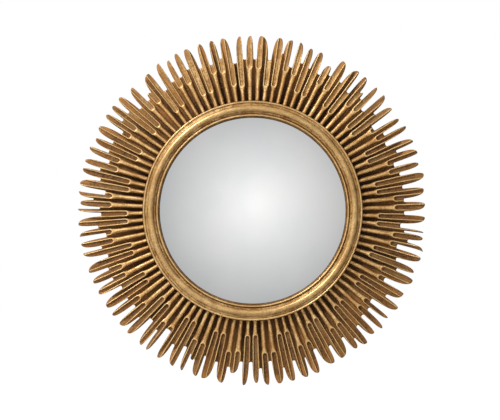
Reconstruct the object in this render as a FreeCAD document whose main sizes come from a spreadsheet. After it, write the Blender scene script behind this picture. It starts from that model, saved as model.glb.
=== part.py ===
import FreeCAD, Part
import Sketcher
import math
import os
import re

# Convex butler's mirror: a bulging round glass in a turned gilt moulding, with a wide ring of
# one hundred carved and gilded rays round it, held together from behind on a plywood ring.
#
# Every piece is drawn facing the viewer: x to the right, y up and z straight out from the wall,
# with the middle of the mirror at the origin. The last step stands each piece up, so that the
# wall is the plane Y = 0, the front faces -Y and +Z is up.

os.makedirs("parts", exist_ok=True)
doc = FreeCAD.newDocument("butlers_mirror")
Vector = FreeCAD.Vector

# ---------------------------------------------------------------- driving sizes, millimetres

SIZES = (
    ("glass_radius", 250.0, "half the stock glass size"),
    ("glass_rise", 45.0, "bulge of the front face over its rim"),
    ("glass_thickness", 3.0, "mirror glass"),
    ("glass_rim_height", 11.0, "land to the front edge of the glass rim"),
    ("glass_clearance", 0.4, "air round the rim of the glass"),
    ("felt_thickness", 1.0, "felt between lip and glass"),
    ("spacer_thickness", 5.5, "bent strip behind the glass rim"),
    ("sight_overlap", 6.7, "lip of the slip over the rim of the glass"),
    ("lip_height", 6.0, "rim of the glass to the flat of the slip"),
    ("slip_web_thickness", 3.0, "upright of the sight slip"),
    ("slip_flange_width", 3.6, "flange of the sight slip beyond its web"),
    ("slip_flange_thickness", 3.0, "flange of the sight slip"),
    ("slip_flange_seat", 3.0, "flange of the sight slip on the land"),
    ("slip_bead_radius", 2.2, "round bead on the sight slip"),
    ("slip_bead_set_in", 4.2, "its middle from the outside of the web"),
    ("slip_clearance", 0.2, "slip inside the moulding"),
    ("moulding_width", 32.8, "turned moulding, bore to outside"),
    ("moulding_height", 16.0, "land to the two flats of the moulding"),
    ("moulding_clearance", 0.1, "outside of the moulding to the rays"),
    ("band_set_in", 12.9, "middle of the broad round from the moulding's bore"),
    ("band_radius", 7.6, "half the broad round's width"),
    ("band_height", 0.7, "its centre above the flats"),
    ("outer_bead_radius", 2.7, "thin bead at the outside"),
    ("outer_bead_drop", 0.5, "its centre below the flats"),
    ("bumper_radius", 10.0, "rubber bumper"),
    ("bumper_thickness", 6.0, "rubber bumper"),
    ("bumper_set_in", 15.0, "bumpers from the edge of the plywood"),
    ("backing_margin", 53.5, "plywood ring beyond the land"),
    ("backing_overhang", 2.0, "plywood ring inside the carved ring"),
    ("backing_thickness", 12.0, "plywood ring"),
    ("panel_rebate_width", 12.0, "rebate for the back panel"),
    ("panel_thickness", 4.0, "back panel"),
    ("panel_clearance", 0.5, "back panel in its rebate"),
    ("floor_thickness", 10.0, "wood under the grooves"),
    ("land_height", 16.0, "flat the moulding sits on"),
    ("ray_reach", 170.5, "rays beyond the land, to the longest tip"),
    ("crest_inner_height", 26.0, "ray crest beside the moulding"),
    ("crest_outer_height", 15.0, "ray crest at the tips"),
    ("rod_width", 8.6, "ray where it leaves the moulding"),
    ("rod_end_width", 13.0, "late-forking ray just before its fork"),
    ("blade_width", 16.6, "ray past its fork"),
    ("blade_tip_width", 17.6, "ray at its tip"),
    ("blade_crown", 3.2, "roundness of the blade"),
    ("early_fork_reach", 37.5, "land to the fork of two rays in every four"),
    ("late_fork_reach", 81.5, "land to the fork of the other two"),
    ("flute_width", 12.4, "scooped flute along the blade"),
    ("flute_depth", 3.4, "scooped flute along the blade"),
    ("ray_turn", 0.56, "degrees from the top to the first joint"),
    ("outline_turn", 0.2, "degrees from the top to outline place 0"),
    ("panel_screw_set_in", 4.8, "small screws from the edge of the panel"),
    ("panel_screw_radius", 1.5, "shank"),
    ("panel_screw_bite", 4.0, "beyond the plywood"),
    ("segment_screw_set_in", 20.0, "screws from the edge of the plywood"),
    ("segment_screw_radius", 2.0, "shank"),
    ("segment_screw_bite", 8.0, "beyond the plywood"),
    ("moulding_screw_set_in", 12.9, "screws from the outside of the moulding"),
    ("moulding_screw_radius", 2.5, "shank"),
    ("moulding_screw_bite", 12.0, "beyond the land"),
    ("spline_length", 40.0, "loose tongue in each joint"),
    ("spline_width", 20.0, "loose tongue in each joint"),
    ("spline_thickness", 4.0, "loose tongue in each joint"),
    ("spline_set_out", 28.5, "middle of the tongues from the land"),
    ("spline_clearance", 0.1, "tongue in its slots"),
    ("hanger_side", 190.0, "hanger from the middle, sideways"),
    ("hanger_set_in", 35.461, "pivot from the edge of the plywood"),
    ("plate_width", 16.0, "strap of the hanger"),
    ("plate_length", 40.0, "strap below the pivot"),
    ("plate_thickness", 1.2, "strap of the hanger"),
    ("pivot_height", 2.95, "pivot line behind the plywood"),
    ("wire_radius", 1.4, "wire of the hanging ring"),
    ("pivot_clearance", 0.05, "wire in the strap's eye"),
    ("ring_half_width", 11.4, "wire line from the middle of the ring"),
    ("ring_leg", 10.0, "straight side of the ring"),
    ("ring_corner", 3.0, "bend beside the pivot"),
    ("hanger_screw_radius", 1.75, "shank"),
    ("hanger_screw_length", 10.0, "under the head"),
    ("hanger_screw_first", 14.0, "below the pivot"),
    ("hanger_screw_second", 33.0, "below the pivot"),
    ("hanger_head_radius", 3.5, "pan head"),
    ("hanger_head_height", 2.0, "pan head"),
)

# Sizes that follow from those above, so that what fits together stays together.
WORKED_OUT = (
    ("sight_radius", "glass_radius - sight_overlap"),
    ("web_bore_radius", "glass_radius + glass_clearance"),
    ("slip_outer_radius", "web_bore_radius + slip_web_thickness"),
    ("slip_flange_radius", "slip_outer_radius + slip_flange_width"),
    ("moulding_bore_radius", "slip_outer_radius + slip_clearance"),
    ("moulding_outer_radius", "moulding_bore_radius + moulding_width"),
    ("land_radius", "moulding_outer_radius + moulding_clearance"),
    ("overall_radius", "land_radius + ray_reach"),
    ("early_fork_radius", "land_radius + early_fork_reach"),
    ("late_fork_radius", "land_radius + late_fork_reach"),
    ("segment_inner_radius", "slip_flange_radius - slip_flange_seat"),
    ("backing_inner_radius", "segment_inner_radius - backing_overhang"),
    ("backing_outer_radius", "land_radius + backing_margin"),
    ("panel_radius", "backing_inner_radius + panel_rebate_width - panel_clearance"),
    ("panel_screw_circle", "panel_radius - panel_screw_set_in"),
    ("segment_screw_circle", "backing_outer_radius - segment_screw_set_in"),
    ("moulding_screw_circle", "moulding_outer_radius - moulding_screw_set_in"),
    ("spline_circle", "land_radius + spline_set_out"),
    ("bumper_circle", "backing_outer_radius - bumper_set_in"),
    ("hanger_circle", "backing_outer_radius - hanger_set_in"),
    ("hanger_rise", "sqrt(hanger_circle ^ 2 - hanger_side ^ 2)"),
    ("panel_screw_length", "backing_thickness + panel_screw_bite"),
    ("segment_screw_length", "backing_thickness + segment_screw_bite"),
    ("moulding_screw_length", "backing_thickness + land_height + moulding_screw_bite"),
    ("backing_level", "bumper_thickness + backing_thickness"),
    ("panel_level", "bumper_thickness + panel_thickness"),
    ("land_level", "backing_level + land_height"),
    ("glass_rim_level", "land_level + glass_rim_height"),
    ("slip_level", "glass_rim_level + lip_height"),
    ("moulding_level", "land_level + moulding_height"),
    ("band_level", "moulding_level + band_height"),
    ("outer_bead_level", "moulding_level - outer_bead_drop"),
    ("pivot_level", "bumper_thickness - pivot_height"),
    ("glass_curve", "(glass_radius ^ 2 + glass_rise ^ 2) / (2 * glass_rise)"),
    ("glass_centre", "glass_rim_level + glass_rise - glass_curve"),
)

sheet = doc.addObject("Spreadsheet::Sheet", "Sizes")
for row, (alias, amount, note) in enumerate(SIZES, start=1):
    sheet.set(f"A{row}", note)
    sheet.set(f"B{row}", str(amount))
    sheet.setAlias(f"B{row}", alias)
doc.recompute()
driving = {alias for alias, amount, note in SIZES}


def cell(alias):
    """A size's name as expressions spell it, whether it is driving or worked out."""
    return f"Sizes.{alias}" if alias in driving else f"Fits.{alias}"


def spelled(formula):
    return re.sub(r"[a-z]+_[a-z_]+", lambda word: cell(word.group()), formula)


fits = doc.addObject("App::VarSet", "Fits")
for alias, formula in WORKED_OUT:
    fits.addProperty("App::PropertyFloat", alias)
    fits.setExpression(alias, spelled(formula))
doc.recompute()


def size(alias):
    """A size read back as a number."""
    return float(sheet.get(alias)) if alias in driving else float(getattr(fits, alias))


def add(*terms):
    return "(" + " + ".join(terms) + ")"


def take(first, second):
    return f"({first} - {second})"


BACKING_REAR = cell("bumper_thickness")
PANEL_FRONT = cell("panel_level")
LAND_LEVEL = cell("land_level")
GLASS_CURVE = cell("glass_curve")
GLASS_CENTRE = cell("glass_centre")

STAND_UP = FreeCAD.Placement(Vector(0, 0, 0), FreeCAD.Rotation(Vector(1, 0, 0), 90))
sub_parts = []


def bind(item, **formulas):
    """Tie properties of an object to the sheet; two underscores stand for a dot."""
    for name, formula in formulas.items():
        item.setExpression(name.replace("__", "."), formula)
    return item


def node(item, label):
    """Name a finished piece and stand it up against the wall."""
    item.Label = label
    item.Placement = STAND_UP
    sub_parts.append(item)
    return item


def disc(name, radius, low, high):
    rod = doc.addObject("Part::Cylinder", name)
    return bind(rod, Radius=radius, Height=take(high, low), Placement__Base__z=low)


def tube(name, inner, outer, low, high):
    ring = doc.addObject("Part::Cut", name)
    ring.Base = disc(name + "_outside", outer, low, high)
    ring.Tool = disc(name + "_inside", inner, low, high)
    return ring


def bead(name, middle, radius, level):
    roll = doc.addObject("Part::Torus", name)
    return bind(roll, Radius1=middle, Radius2=radius, Placement__Base__z=level)


def ball(name, radius):
    """A sphere about the centre the glass is bent round."""
    globe = doc.addObject("Part::Sphere", name)
    return bind(globe, Radius=radius, Placement__Base__z=GLASS_CENTRE)


def joined(name, pieces):
    union = doc.addObject("Part::MultiFuse", name)
    union.Shapes = pieces
    return union


def minus(name, base, tool):
    rest = doc.addObject("Part::Cut", name)
    rest.Base = base
    rest.Tool = tool
    return rest


def within(name, base, tool):
    shared = doc.addObject("Part::Common", name)
    shared.Base = base
    shared.Tool = tool
    return shared


# ---------------------------------------------------------------- places round the mirror

RAY_COUNT = 100
SEGMENT_COUNT = 10
RAYS_EACH = RAY_COUNT // SEGMENT_COUNT
PITCH = 360.0 / RAY_COUNT
SEGMENT_TURN = 360.0 / SEGMENT_COUNT


def spot(radius, turn, level=0.0):
    """A point at a clockwise turn in degrees from the top."""
    swing = math.radians(turn)
    return Vector(radius * math.sin(swing), radius * math.cos(swing), level)


def placed(shape, radius, turn, level=0.0):
    """A copy of a shape moved out to a radius, its own y axis pointing outward."""
    copy = shape.copy()
    spin = FreeCAD.Rotation(Vector(0, 0, 1), -turn)
    copy.Placement = FreeCAD.Placement(spot(radius, turn, level), spin).multiply(shape.Placement)
    return copy


def group(name, shapes):
    """Identical loose pieces that share one node."""
    item = doc.addObject("Part::Feature", name)
    item.Shape = Part.makeCompound(shapes)
    return item


def wood_screw(name, shank, length, reach):
    """A countersunk screw pointing away from the wall, head flush with its own z = 0."""
    head = doc.addObject("Part::Cone", name + "_head")
    bind(head, Radius1=f"({shank} * 2)", Radius2=shank, Height=shank)
    stem = doc.addObject("Part::Cylinder", name + "_stem")
    bind(stem, Radius=shank, Height=take(length, reach))
    point = doc.addObject("Part::Cone", name + "_point")
    point.Radius2 = 0.3
    bind(point, Radius1=shank, Height=reach, Placement__Base__z=take(length, reach))
    return joined(name, [head, stem, point])


panel_screw = wood_screw("panel_screw", cell("panel_screw_radius"),
                         cell("panel_screw_length"), "(Sizes.panel_screw_radius * 2)")
segment_screw = wood_screw("segment_screw", cell("segment_screw_radius"),
                           cell("segment_screw_length"), "(Sizes.segment_screw_radius * 2)")
moulding_screw = wood_screw("moulding_screw", cell("moulding_screw_radius"),
                            cell("moulding_screw_length"), "(Sizes.moulding_screw_radius * 2)")
doc.recompute()

REAR = size("bumper_thickness")
FRONT = REAR + size("backing_thickness")
PANEL_SCREW_COUNT = 12
PANEL_SCREW_START = 8.0
SEGMENT_SCREW_SPREAD = 10.0


def segment_middle(number):
    return size("ray_turn") + SEGMENT_TURN * (number + 0.5)


panel_screws = [
    placed(panel_screw.Shape, size("panel_screw_circle"),
           PANEL_SCREW_START + index * 360.0 / PANEL_SCREW_COUNT, REAR)
    for index in range(PANEL_SCREW_COUNT)
]
segment_screws = [
    placed(segment_screw.Shape, size("segment_screw_circle"),
           segment_middle(number) + side * SEGMENT_SCREW_SPREAD, REAR)
    for number in range(SEGMENT_COUNT)
    for side in (-1, 1)
]
moulding_screws = [
    placed(moulding_screw.Shape, size("moulding_screw_circle"), segment_middle(number), REAR)
    for number in range(SEGMENT_COUNT)
]
panel_screw_set = group("panel_screw_set", panel_screws)
segment_screw_set = group("segment_screw_set", segment_screws)
moulding_screw_set = group("moulding_screw_set", moulding_screws)


def loose_set(label, kept):
    """The node that shows a set of screws which is also used to bore their holes."""
    item = doc.addObject("Part::Compound", label)
    item.Links = [kept]
    return node(item, label)


loose_set("back_panel_screws", panel_screw_set)
loose_set("segment_screws", segment_screw_set)
loose_set("moulding_screws", moulding_screw_set)

# ---------------------------------------------------------------- glass and what holds its rim

# The glass is a shell of two spheres about one centre, cut to a disc.
glass_disc = disc("glass_disc", cell("glass_radius"), "0",
                  add(cell("glass_rim_level"), cell("glass_rise"), "1"))
glass_shell = minus("glass_shell", ball("glass_front", GLASS_CURVE),
                    ball("glass_rear", take(GLASS_CURVE, cell("glass_thickness"))))
node(within("glass", glass_disc, glass_shell), "convex_mirror_glass")

# The felt follows the front of the rim, and the strip behind it ends in the same curve.
felt_outer = take(cell("glass_radius"), cell("felt_thickness") + " / 2")
felt_tube = tube("felt_tube", add(cell("sight_radius"), cell("felt_thickness")), felt_outer,
                 take(cell("glass_rim_level"), "5"), cell("slip_level"))
felt_shell = minus("felt_shell", ball("felt_front", add(GLASS_CURVE, cell("felt_thickness"))),
                   ball("felt_rear", GLASS_CURVE))
node(within("felt", felt_tube, felt_shell), "rebate_felt")

spacer_outer = take(cell("glass_radius"), cell("glass_clearance"))
spacer_tube = tube("spacer_tube", take(spacer_outer, cell("spacer_thickness")), spacer_outer,
                   PANEL_FRONT, cell("slip_level"))
node(within("spacer", spacer_tube,
            ball("spacer_end", take(GLASS_CURVE, cell("glass_thickness")))), "glass_spacer_ring")

# The slip is an upright web with a lip over the glass and a flange under the moulding.
web_inner = cell("web_bore_radius")
slip_web = tube("slip_web", web_inner, cell("slip_outer_radius"), LAND_LEVEL, cell("slip_level"))
slip_flange = tube("slip_flange", web_inner, cell("slip_flange_radius"), LAND_LEVEL,
                   add(LAND_LEVEL, cell("slip_flange_thickness")))
slip_lip = tube("slip_lip", cell("sight_radius"), cell("slip_outer_radius"),
                take(cell("glass_rim_level"), "4"), cell("slip_level"))
slip_round = bead("slip_round", take(cell("slip_outer_radius"), cell("slip_bead_set_in")),
                  cell("slip_bead_radius"), cell("slip_level"))
slip_blank = joined("slip_blank", [slip_web, slip_flange, slip_lip, slip_round])
slip_hollow = within("slip_hollow", ball("slip_under", add(GLASS_CURVE, cell("felt_thickness"))),
                     disc("slip_reach", web_inner, "0", cell("slip_level")))
node(minus("slip", slip_blank, slip_hollow), "sight_slip")

# ---------------------------------------------------------------- turned moulding

moulding_inner = cell("moulding_bore_radius")
moulding_ring = tube("moulding_ring", moulding_inner, cell("moulding_outer_radius"),
                     LAND_LEVEL, cell("moulding_level"))
broad_round = bead("broad_round", add(moulding_inner, cell("band_set_in")),
                   cell("band_radius"), cell("band_level"))
outer_round = bead("outer_round", take(cell("moulding_outer_radius"), cell("outer_bead_radius")),
                   cell("outer_bead_radius"), cell("outer_bead_level"))
moulding_blank = joined("moulding_blank", [moulding_ring, broad_round, outer_round])
slip_rebate = tube("slip_rebate", take(moulding_inner, "1"),
                   add(cell("slip_flange_radius"), cell("slip_clearance")), LAND_LEVEL,
                   add(LAND_LEVEL, cell("slip_flange_thickness"), "0.1"))
moulding_rebated = minus("moulding_rebated", moulding_blank, slip_rebate)
node(minus("moulding", moulding_rebated, moulding_screw_set), "frame_moulding")

# ---------------------------------------------------------------- plywood ring and back panel

# The plywood ring is a padded ring with a rebate for the panel pocketed into its rear.
backing_body = doc.addObject("PartDesign::Body", "backing")
FIRST_DRAWN = 340.0


def flat_plane(body):
    """The body's own plane facing the viewer."""
    for feature in body.Origin.OriginFeatures:
        if feature.Role == "XY_Plane":
            return feature
    raise ValueError("the body has no XY plane")


def ring_sketch(body, name, level, radii):
    """Circles about the middle, each tied to the sheet, on a plane at a level."""
    sketch = body.newObject("Sketcher::SketchObject", name)
    sketch.AttachmentSupport = [(flat_plane(body), "")]
    sketch.MapMode = "FlatFace"
    bind(sketch, AttachmentOffset__Base__z=level)
    for order, radius in enumerate(radii, start=1):
        drawn = FIRST_DRAWN / order
        circle = sketch.addGeometry(Part.Circle(Vector(0, 0, 0), Vector(0, 0, 1), drawn))
        sketch.addConstraint(Sketcher.Constraint("Coincident", circle, 3, -1, 1))
        fixed = sketch.addConstraint(Sketcher.Constraint("Radius", circle, drawn))
        sketch.setExpression(f"Constraints[{fixed}]", radius)
    return sketch


backing_plan = ring_sketch(backing_body, "backing_plan", BACKING_REAR,
                           [cell("backing_outer_radius"), cell("backing_inner_radius")])
backing_pad = backing_body.newObject("PartDesign::Pad", "backing_pad")
backing_pad.Profile = backing_plan
bind(backing_pad, Length=cell("backing_thickness"))
doc.recompute()
rebate_plan = ring_sketch(backing_body, "rebate_plan", BACKING_REAR,
                          [add(cell("panel_radius"), cell("panel_clearance"))])
rebate_pocket = backing_body.newObject("PartDesign::Pocket", "rebate_pocket")
rebate_pocket.Profile = rebate_plan
rebate_pocket.Reversed = True
bind(rebate_pocket, Length=cell("panel_thickness"))
doc.recompute()
backing_bored = minus("backing_bored", backing_body,
                      joined("backing_screw_sets",
                             [panel_screw_set, segment_screw_set, moulding_screw_set]))

# Each hanger strap is held by two pan-head screws with flat undersides.
hanger_screw_shank = doc.addObject("Part::Cylinder", "hanger_screw_shank")
bind(hanger_screw_shank, Radius=cell("hanger_screw_radius"),
     Height=take(cell("hanger_screw_length"), "3"))
hanger_screw_point = doc.addObject("Part::Cone", "hanger_screw_point")
hanger_screw_point.Radius2 = 0.3
hanger_screw_point.Height = 3.0
bind(hanger_screw_point, Radius1=cell("hanger_screw_radius"),
     Placement__Base__z=take(cell("hanger_screw_length"), "3"))
hanger_screw_head = doc.addObject("Part::Cylinder", "hanger_screw_head")
bind(hanger_screw_head, Radius=cell("hanger_head_radius"), Height=cell("hanger_head_height"),
     Placement__Base__z=f"(0 - {cell('hanger_head_height')})")
hanger_screw = joined("hanger_screw", [hanger_screw_shank, hanger_screw_point, hanger_screw_head])
doc.recompute()

PLATE_REAR = REAR - size("plate_thickness")
SIDES = (("left", -1), ("right", 1))


def hanger_screw_pair(side):
    pair = []
    for drop in (size("hanger_screw_first"), size("hanger_screw_second")):
        copy = hanger_screw.Shape.copy()
        copy.translate(Vector(side * size("hanger_side"), size("hanger_rise") - drop, PLATE_REAR))
        pair.append(copy)
    return pair


hanger_screw_sets = {}
for word, side in SIDES:
    hanger_screw_sets[word] = group("hanger_screw_set_" + word, hanger_screw_pair(side))
    loose_set("hanger_screws_" + word, hanger_screw_sets[word])
both_hanger_sets = joined("both_hanger_sets", list(hanger_screw_sets.values()))
node(minus("backing_finished", backing_bored, both_hanger_sets), "backing_ring")

panel_disc = disc("panel_disc", cell("panel_radius"), BACKING_REAR, PANEL_FRONT)
node(minus("panel", panel_disc, panel_screw_set), "back_panel")

# Rubber bumpers behind four of the segments keep the hanging hardware off the wall.
BUMPER_SEGMENTS = (1, 3, 6, 8)
bumper_master = doc.addObject("Part::Cone", "bumper_master")
bind(bumper_master, Radius1=take(cell("bumper_radius"), "1"), Radius2=cell("bumper_radius"),
     Height=cell("bumper_thickness"))
doc.recompute()
bumper_set = group("bumper_set", [
    placed(bumper_master.Shape, size("bumper_circle"), segment_middle(number))
    for number in BUMPER_SEGMENTS
])
loose_set("wall_bumpers", bumper_set)

# ---------------------------------------------------------------- hangers

for word, side in SIDES:
    across = f"({side} * {cell('hanger_side')})"
    strap = doc.addObject("Part::Box", "strap_" + word)
    bind(strap, Length=cell("plate_width"), Width=add(cell("plate_length"), "1"),
         Height=cell("plate_thickness"),
         Placement__Base__x=take(across, cell("plate_width") + " / 2"),
         Placement__Base__y=take(cell("hanger_rise"), cell("plate_length")),
         Placement__Base__z=take(BACKING_REAR, cell("plate_thickness")))
    eye_radius = add(cell("wire_radius"), cell("pivot_clearance"))
    tubes = []
    for part_name, radius in (("curl", add(eye_radius, cell("plate_thickness"))),
                              ("eye", eye_radius)):
        roll = doc.addObject("Part::Cylinder", f"{part_name}_{word}")
        roll.Placement.Rotation = FreeCAD.Rotation(Vector(0, 1, 0), 90)
        bind(roll, Radius=radius, Height=cell("plate_width"),
             Placement__Base__x=take(across, cell("plate_width") + " / 2"),
             Placement__Base__y=cell("hanger_rise"), Placement__Base__z=cell("pivot_level"))
        tubes.append(roll)
    plate_blank = joined("plate_blank_" + word, [strap, tubes[0]])
    plate_bored = minus("plate_bored_" + word, plate_blank, tubes[1])
    node(minus("plate_" + word, plate_bored, hanger_screw_sets[word]), "hanger_plate_" + word)

    # The ring is one closed wire: pivot bar, two bends, two straight legs and a round bow.
    bar_half = take(cell("ring_half_width"), cell("ring_corner"))
    bar = doc.addObject("Part::Cylinder", "bar_" + word)
    bar.Placement.Rotation = FreeCAD.Rotation(Vector(0, 1, 0), 90)
    bind(bar, Radius=cell("wire_radius"), Height=f"(2 * {bar_half})",
         Placement__Base__x=take(across, bar_half),
         Placement__Base__y=cell("hanger_rise"), Placement__Base__z=cell("pivot_level"))
    wire = [bar]
    for hand, start in ((-1, 90), (1, 0)):
        bend = doc.addObject("Part::Torus", f"bend_{word}_{start}")
        bend.Placement.Rotation = FreeCAD.Rotation(Vector(0, 0, 1), start)
        bend.Angle3 = 90
        bind(bend, Radius1=cell("ring_corner"), Radius2=cell("wire_radius"),
             Placement__Base__x=add(across, f"({hand} * {bar_half})"),
             Placement__Base__y=take(cell("hanger_rise"), cell("ring_corner")),
             Placement__Base__z=cell("pivot_level"))
        leg = doc.addObject("Part::Cylinder", f"leg_{word}_{start}")
        leg.Placement.Rotation = FreeCAD.Rotation(Vector(1, 0, 0), 90)
        bind(leg, Radius=cell("wire_radius"), Height=cell("ring_leg"),
             Placement__Base__x=add(across, f"({hand} * {cell('ring_half_width')})"),
             Placement__Base__y=take(cell("hanger_rise"), cell("ring_corner")),
             Placement__Base__z=cell("pivot_level"))
        wire += [bend, leg]
    bow = doc.addObject("Part::Torus", "bow_" + word)
    bow.Placement.Rotation = FreeCAD.Rotation(Vector(0, 0, 1), 180)
    bow.Angle3 = 180
    bind(bow, Radius1=cell("ring_half_width"), Radius2=cell("wire_radius"),
         Placement__Base__x=across,
         Placement__Base__y=take(cell("hanger_rise"),
                                 add(cell("ring_corner"), cell("ring_leg"))),
         Placement__Base__z=cell("pivot_level"))
    node(joined("ring_" + word, wire + [bow]), "hanger_ring_" + word)

# ---------------------------------------------------------------- carved ray segments

# The tips are cut by eye and follow no spacing of their own. Each entry is a slot and the tip
# after it, clockwise: its place in ray pitches from the start of the row and a letter for how
# far it stops short of the longest tip. One row covers ten rays.
OUTLINE = (
    "0.2m 0.7a 1.72m 2.5a 2.95f 3.6a 4.02d 4.35a 5.05h 5.5b 5.97n 6.5b 7.1m 7.8s 8.2h 8.65a"
    " 9.47h 10.35a",
    "0.72m 1.1a 1.75f 1.92t 2.2h 2.5a 3.15d 3.45a 4.25h 4.9b 5.4e 6.05b 6.55m 6.95a 7.6d 8.45a"
    " 8.75h 9.55a",
    "-0.03d 0.55b 1.07m 1.6a 2.45m 3.0b 3.85m 4.37b 5.2m 5.6b 6.53d 7.02b 7.12n 7.57b 8.0g"
    " 8.75a 8.8d 9.42a",
    "0.13m 0.8b 1.12h 1.55a 2.6d 2.97b 3.95g 4.37a 5.25d 5.6b 6.13m 6.68a 7.1m 7.5b 8.22h"
    " 8.6a 9.24k 9.65b",
    "0.15h 1.2b 1.7h 2.12b 3.25m 3.8a 4.5p 4.9a 5.7h 6.15a 6.85f 7.48a 8.12m 8.5a 9.17g 9.6b",
    "0.15m 0.8a 1.17m 2.0s 2.38g 2.82a 3.68h 4.65a 4.95n 5.22a 5.92f 6.1t 6.43p 6.6a 7.25m"
    " 7.52a 8.45h 9.1a 9.72e",
    "0.35a 0.72n 1.02a 1.85d 2.65a 2.95p 3.7a 4.17m 4.75a 5.17n 5.67a 6.55m 7.07a 7.75h 8.17a"
    " 8.85h 9.2a",
    "0.17m 1.0a 1.17h 1.85a 2.33d 2.55a 3.27h 3.67a 4.55m 5.12a 5.22n 5.65b 6.1f 6.75a 6.87d"
    " 7.47a 8.15h 8.8a 9.15g 9.58a",
    "0.15m 0.9a 1.15h 1.8b 2.17h 2.85a 3.52m 4.15a 4.6g 5.13a 5.58g 6.1a 6.75m 7.6b 7.92m"
    " 8.3u 8.6p 9.55b",
    "-0.03d 0.85a 1.15m 1.8b 2.1m 2.65a 3.12h 3.62a 4.38m 5.0a 5.55m 6.1a 6.65h 7.15a 8.03d"
    " 8.8a 9.1m 9.75a",
)
# How far each kind of tip stops short of the longest, as a share of the overall radius.
TIP_DROP = {"a": 0.0, "b": 0.014, "s": 0.064, "t": 0.078, "u": 0.104}
# The same for the bottoms of the slots, and the slot's width in ray pitches.
SLOT_DROP = {"k": 0.064, "f": 0.084, "g": 0.094, "p": 0.106, "h": 0.109, "n": 0.123, "m": 0.131,
             "d": 0.149, "e": 0.165}
SLOT_WIDTH = {"k": 0.14, "f": 0.16, "g": 0.30, "p": 0.12, "h": 0.29, "n": 0.20, "m": 0.36,
              "d": 0.45, "e": 0.60}


def read_outline():
    """The slots and tips of the whole ring in order, places counted in ray pitches."""
    slots, tips = [], []
    for number, text in enumerate(OUTLINE):
        for word in text.split():
            place = float(word[:-1]) + RAYS_EACH * number
            letter = word[-1]
            if len(slots) == len(tips):
                slots.append((place, SLOT_WIDTH[letter] / 2, 1.0 - SLOT_DROP[letter]))
            else:
                tips.append((place, 1.0 - TIP_DROP[letter]))
    return slots, tips


slots, tips = read_outline()
WHOLE = size("overall_radius")
CLEAR = 30.0


def outline_spot(place, share):
    return spot(share * WHOLE, size("outline_turn") + place * PITCH)


def flank(start, end):
    """One curved side of a tip, upright at the slot and level at the tip."""
    reach = abs(end[0] - start[0])
    lead = min(0.5, max(0.1, 0.6 * reach))
    corner = (start[0] + (end[0] - start[0]) * lead, end[1])
    curve = Part.BezierCurve()
    curve.setPoles([outline_spot(*start), outline_spot(*corner), outline_spot(*end)])
    return curve.toShape()


def outline_face(first_place, last_place):
    """A face from well inside the ring out to the tips, wider than one segment both ways."""
    count = len(slots)
    extended = []
    for lap in (-1, 0, 1):
        for index in range(count):
            shift = lap * RAY_COUNT
            slot = (slots[index][0] + shift, slots[index][1], slots[index][2])
            tip = (tips[index][0] + shift, tips[index][1])
            extended.append((slot, tip))
    chosen = [pair for pair in extended if first_place - 2.0 < pair[0][0] < last_place + 2.0]
    edges = []
    for index, (slot, tip) in enumerate(chosen[:-1]):
        following = chosen[index + 1][0]
        left = outline_spot(slot[0] - slot[1], slot[2])
        bottom = outline_spot(slot[0], slot[2] * 0.999)
        right = outline_spot(slot[0] + slot[1], slot[2])
        edges.append(Part.Arc(left, bottom, right).toShape())
        edges.append(flank((slot[0] + slot[1], slot[2]), tip))
        edges.append(flank((following[0] - following[1], following[2]), tip))
    begin = edges[0].Vertexes[0].Point
    last_slot = chosen[-1][0]
    finish = outline_spot(last_slot[0] - last_slot[1], last_slot[2])
    inner = size("segment_inner_radius") - CLEAR
    inner_finish = Vector(finish).normalize() * inner
    inner_begin = Vector(begin).normalize() * inner
    edges.append(Part.makeLine(finish, inner_finish))
    edges.append(Part.makeLine(inner_finish, inner_begin))
    edges.append(Part.makeLine(inner_begin, begin))
    return Part.Face(Part.Wire(Part.__sortEdges__(edges)))


def sector(inner, outer, first_turn, last_turn, low, high):
    """A block between two radii and two turns, flat joint faces at its ends."""
    middle = (first_turn + last_turn) / 2
    edges = [
        Part.makeLine(spot(inner, first_turn), spot(outer, first_turn)),
        Part.Arc(spot(outer, first_turn), spot(outer, middle), spot(outer, last_turn)).toShape(),
        Part.makeLine(spot(outer, last_turn), spot(inner, last_turn)),
        Part.Arc(spot(inner, last_turn), spot(inner, middle), spot(inner, first_turn)).toShape(),
    ]
    block = Part.Face(Part.Wire(edges)).extrude(Vector(0, 0, high - low))
    block.translate(Vector(0, 0, low))
    return block


def crest(radius):
    """Height of the ray crests above the back of the wood."""
    inner, outer = size("land_radius"), WHOLE
    share = (radius - inner) / (outer - inner)
    return size("crest_inner_height") * (1 - share) + size("crest_outer_height") * share


def ray_section(radius, width, crown):
    """Cross-section of one ray, upright sides and a rounded top."""
    half = width / 2
    top = crest(radius)
    low = size("floor_thickness") - 1.0
    shoulder = top - crown
    corners = [Vector(-half, radius, low), Vector(half, radius, low),
               Vector(half, radius, shoulder), Vector(-half, radius, shoulder)]
    return Part.Wire([
        Part.makeLine(corners[0], corners[1]),
        Part.makeLine(corners[1], corners[2]),
        Part.Arc(corners[2], Vector(0, radius, top), corners[3]).toShape(),
        Part.makeLine(corners[3], corners[0]),
    ])


def forks_early(ray):
    return ray % 4 in (1, 2)


def fork_radius(ray):
    return size("early_fork_radius") if forks_early(ray) else size("late_fork_radius")


def ray_ridge(ray):
    """A half-round rod that spreads into a blade at its fork."""
    rod = size("rod_width")
    rod_end = rod if forks_early(ray) else size("rod_end_width")
    blade = size("blade_width")
    fork = fork_radius(ray)
    inner = size("land_radius") - 2.0
    outer = WHOLE + 5.0
    sections = [
        ray_section(inner, rod, rod / 2),
        ray_section(fork - 8.0, rod_end, rod_end * 0.42),
        ray_section(fork + 6.0, blade, size("blade_crown")),
        ray_section(outer, size("blade_tip_width"), size("blade_crown")),
    ]
    return Part.makeLoft(sections, True, True)


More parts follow.
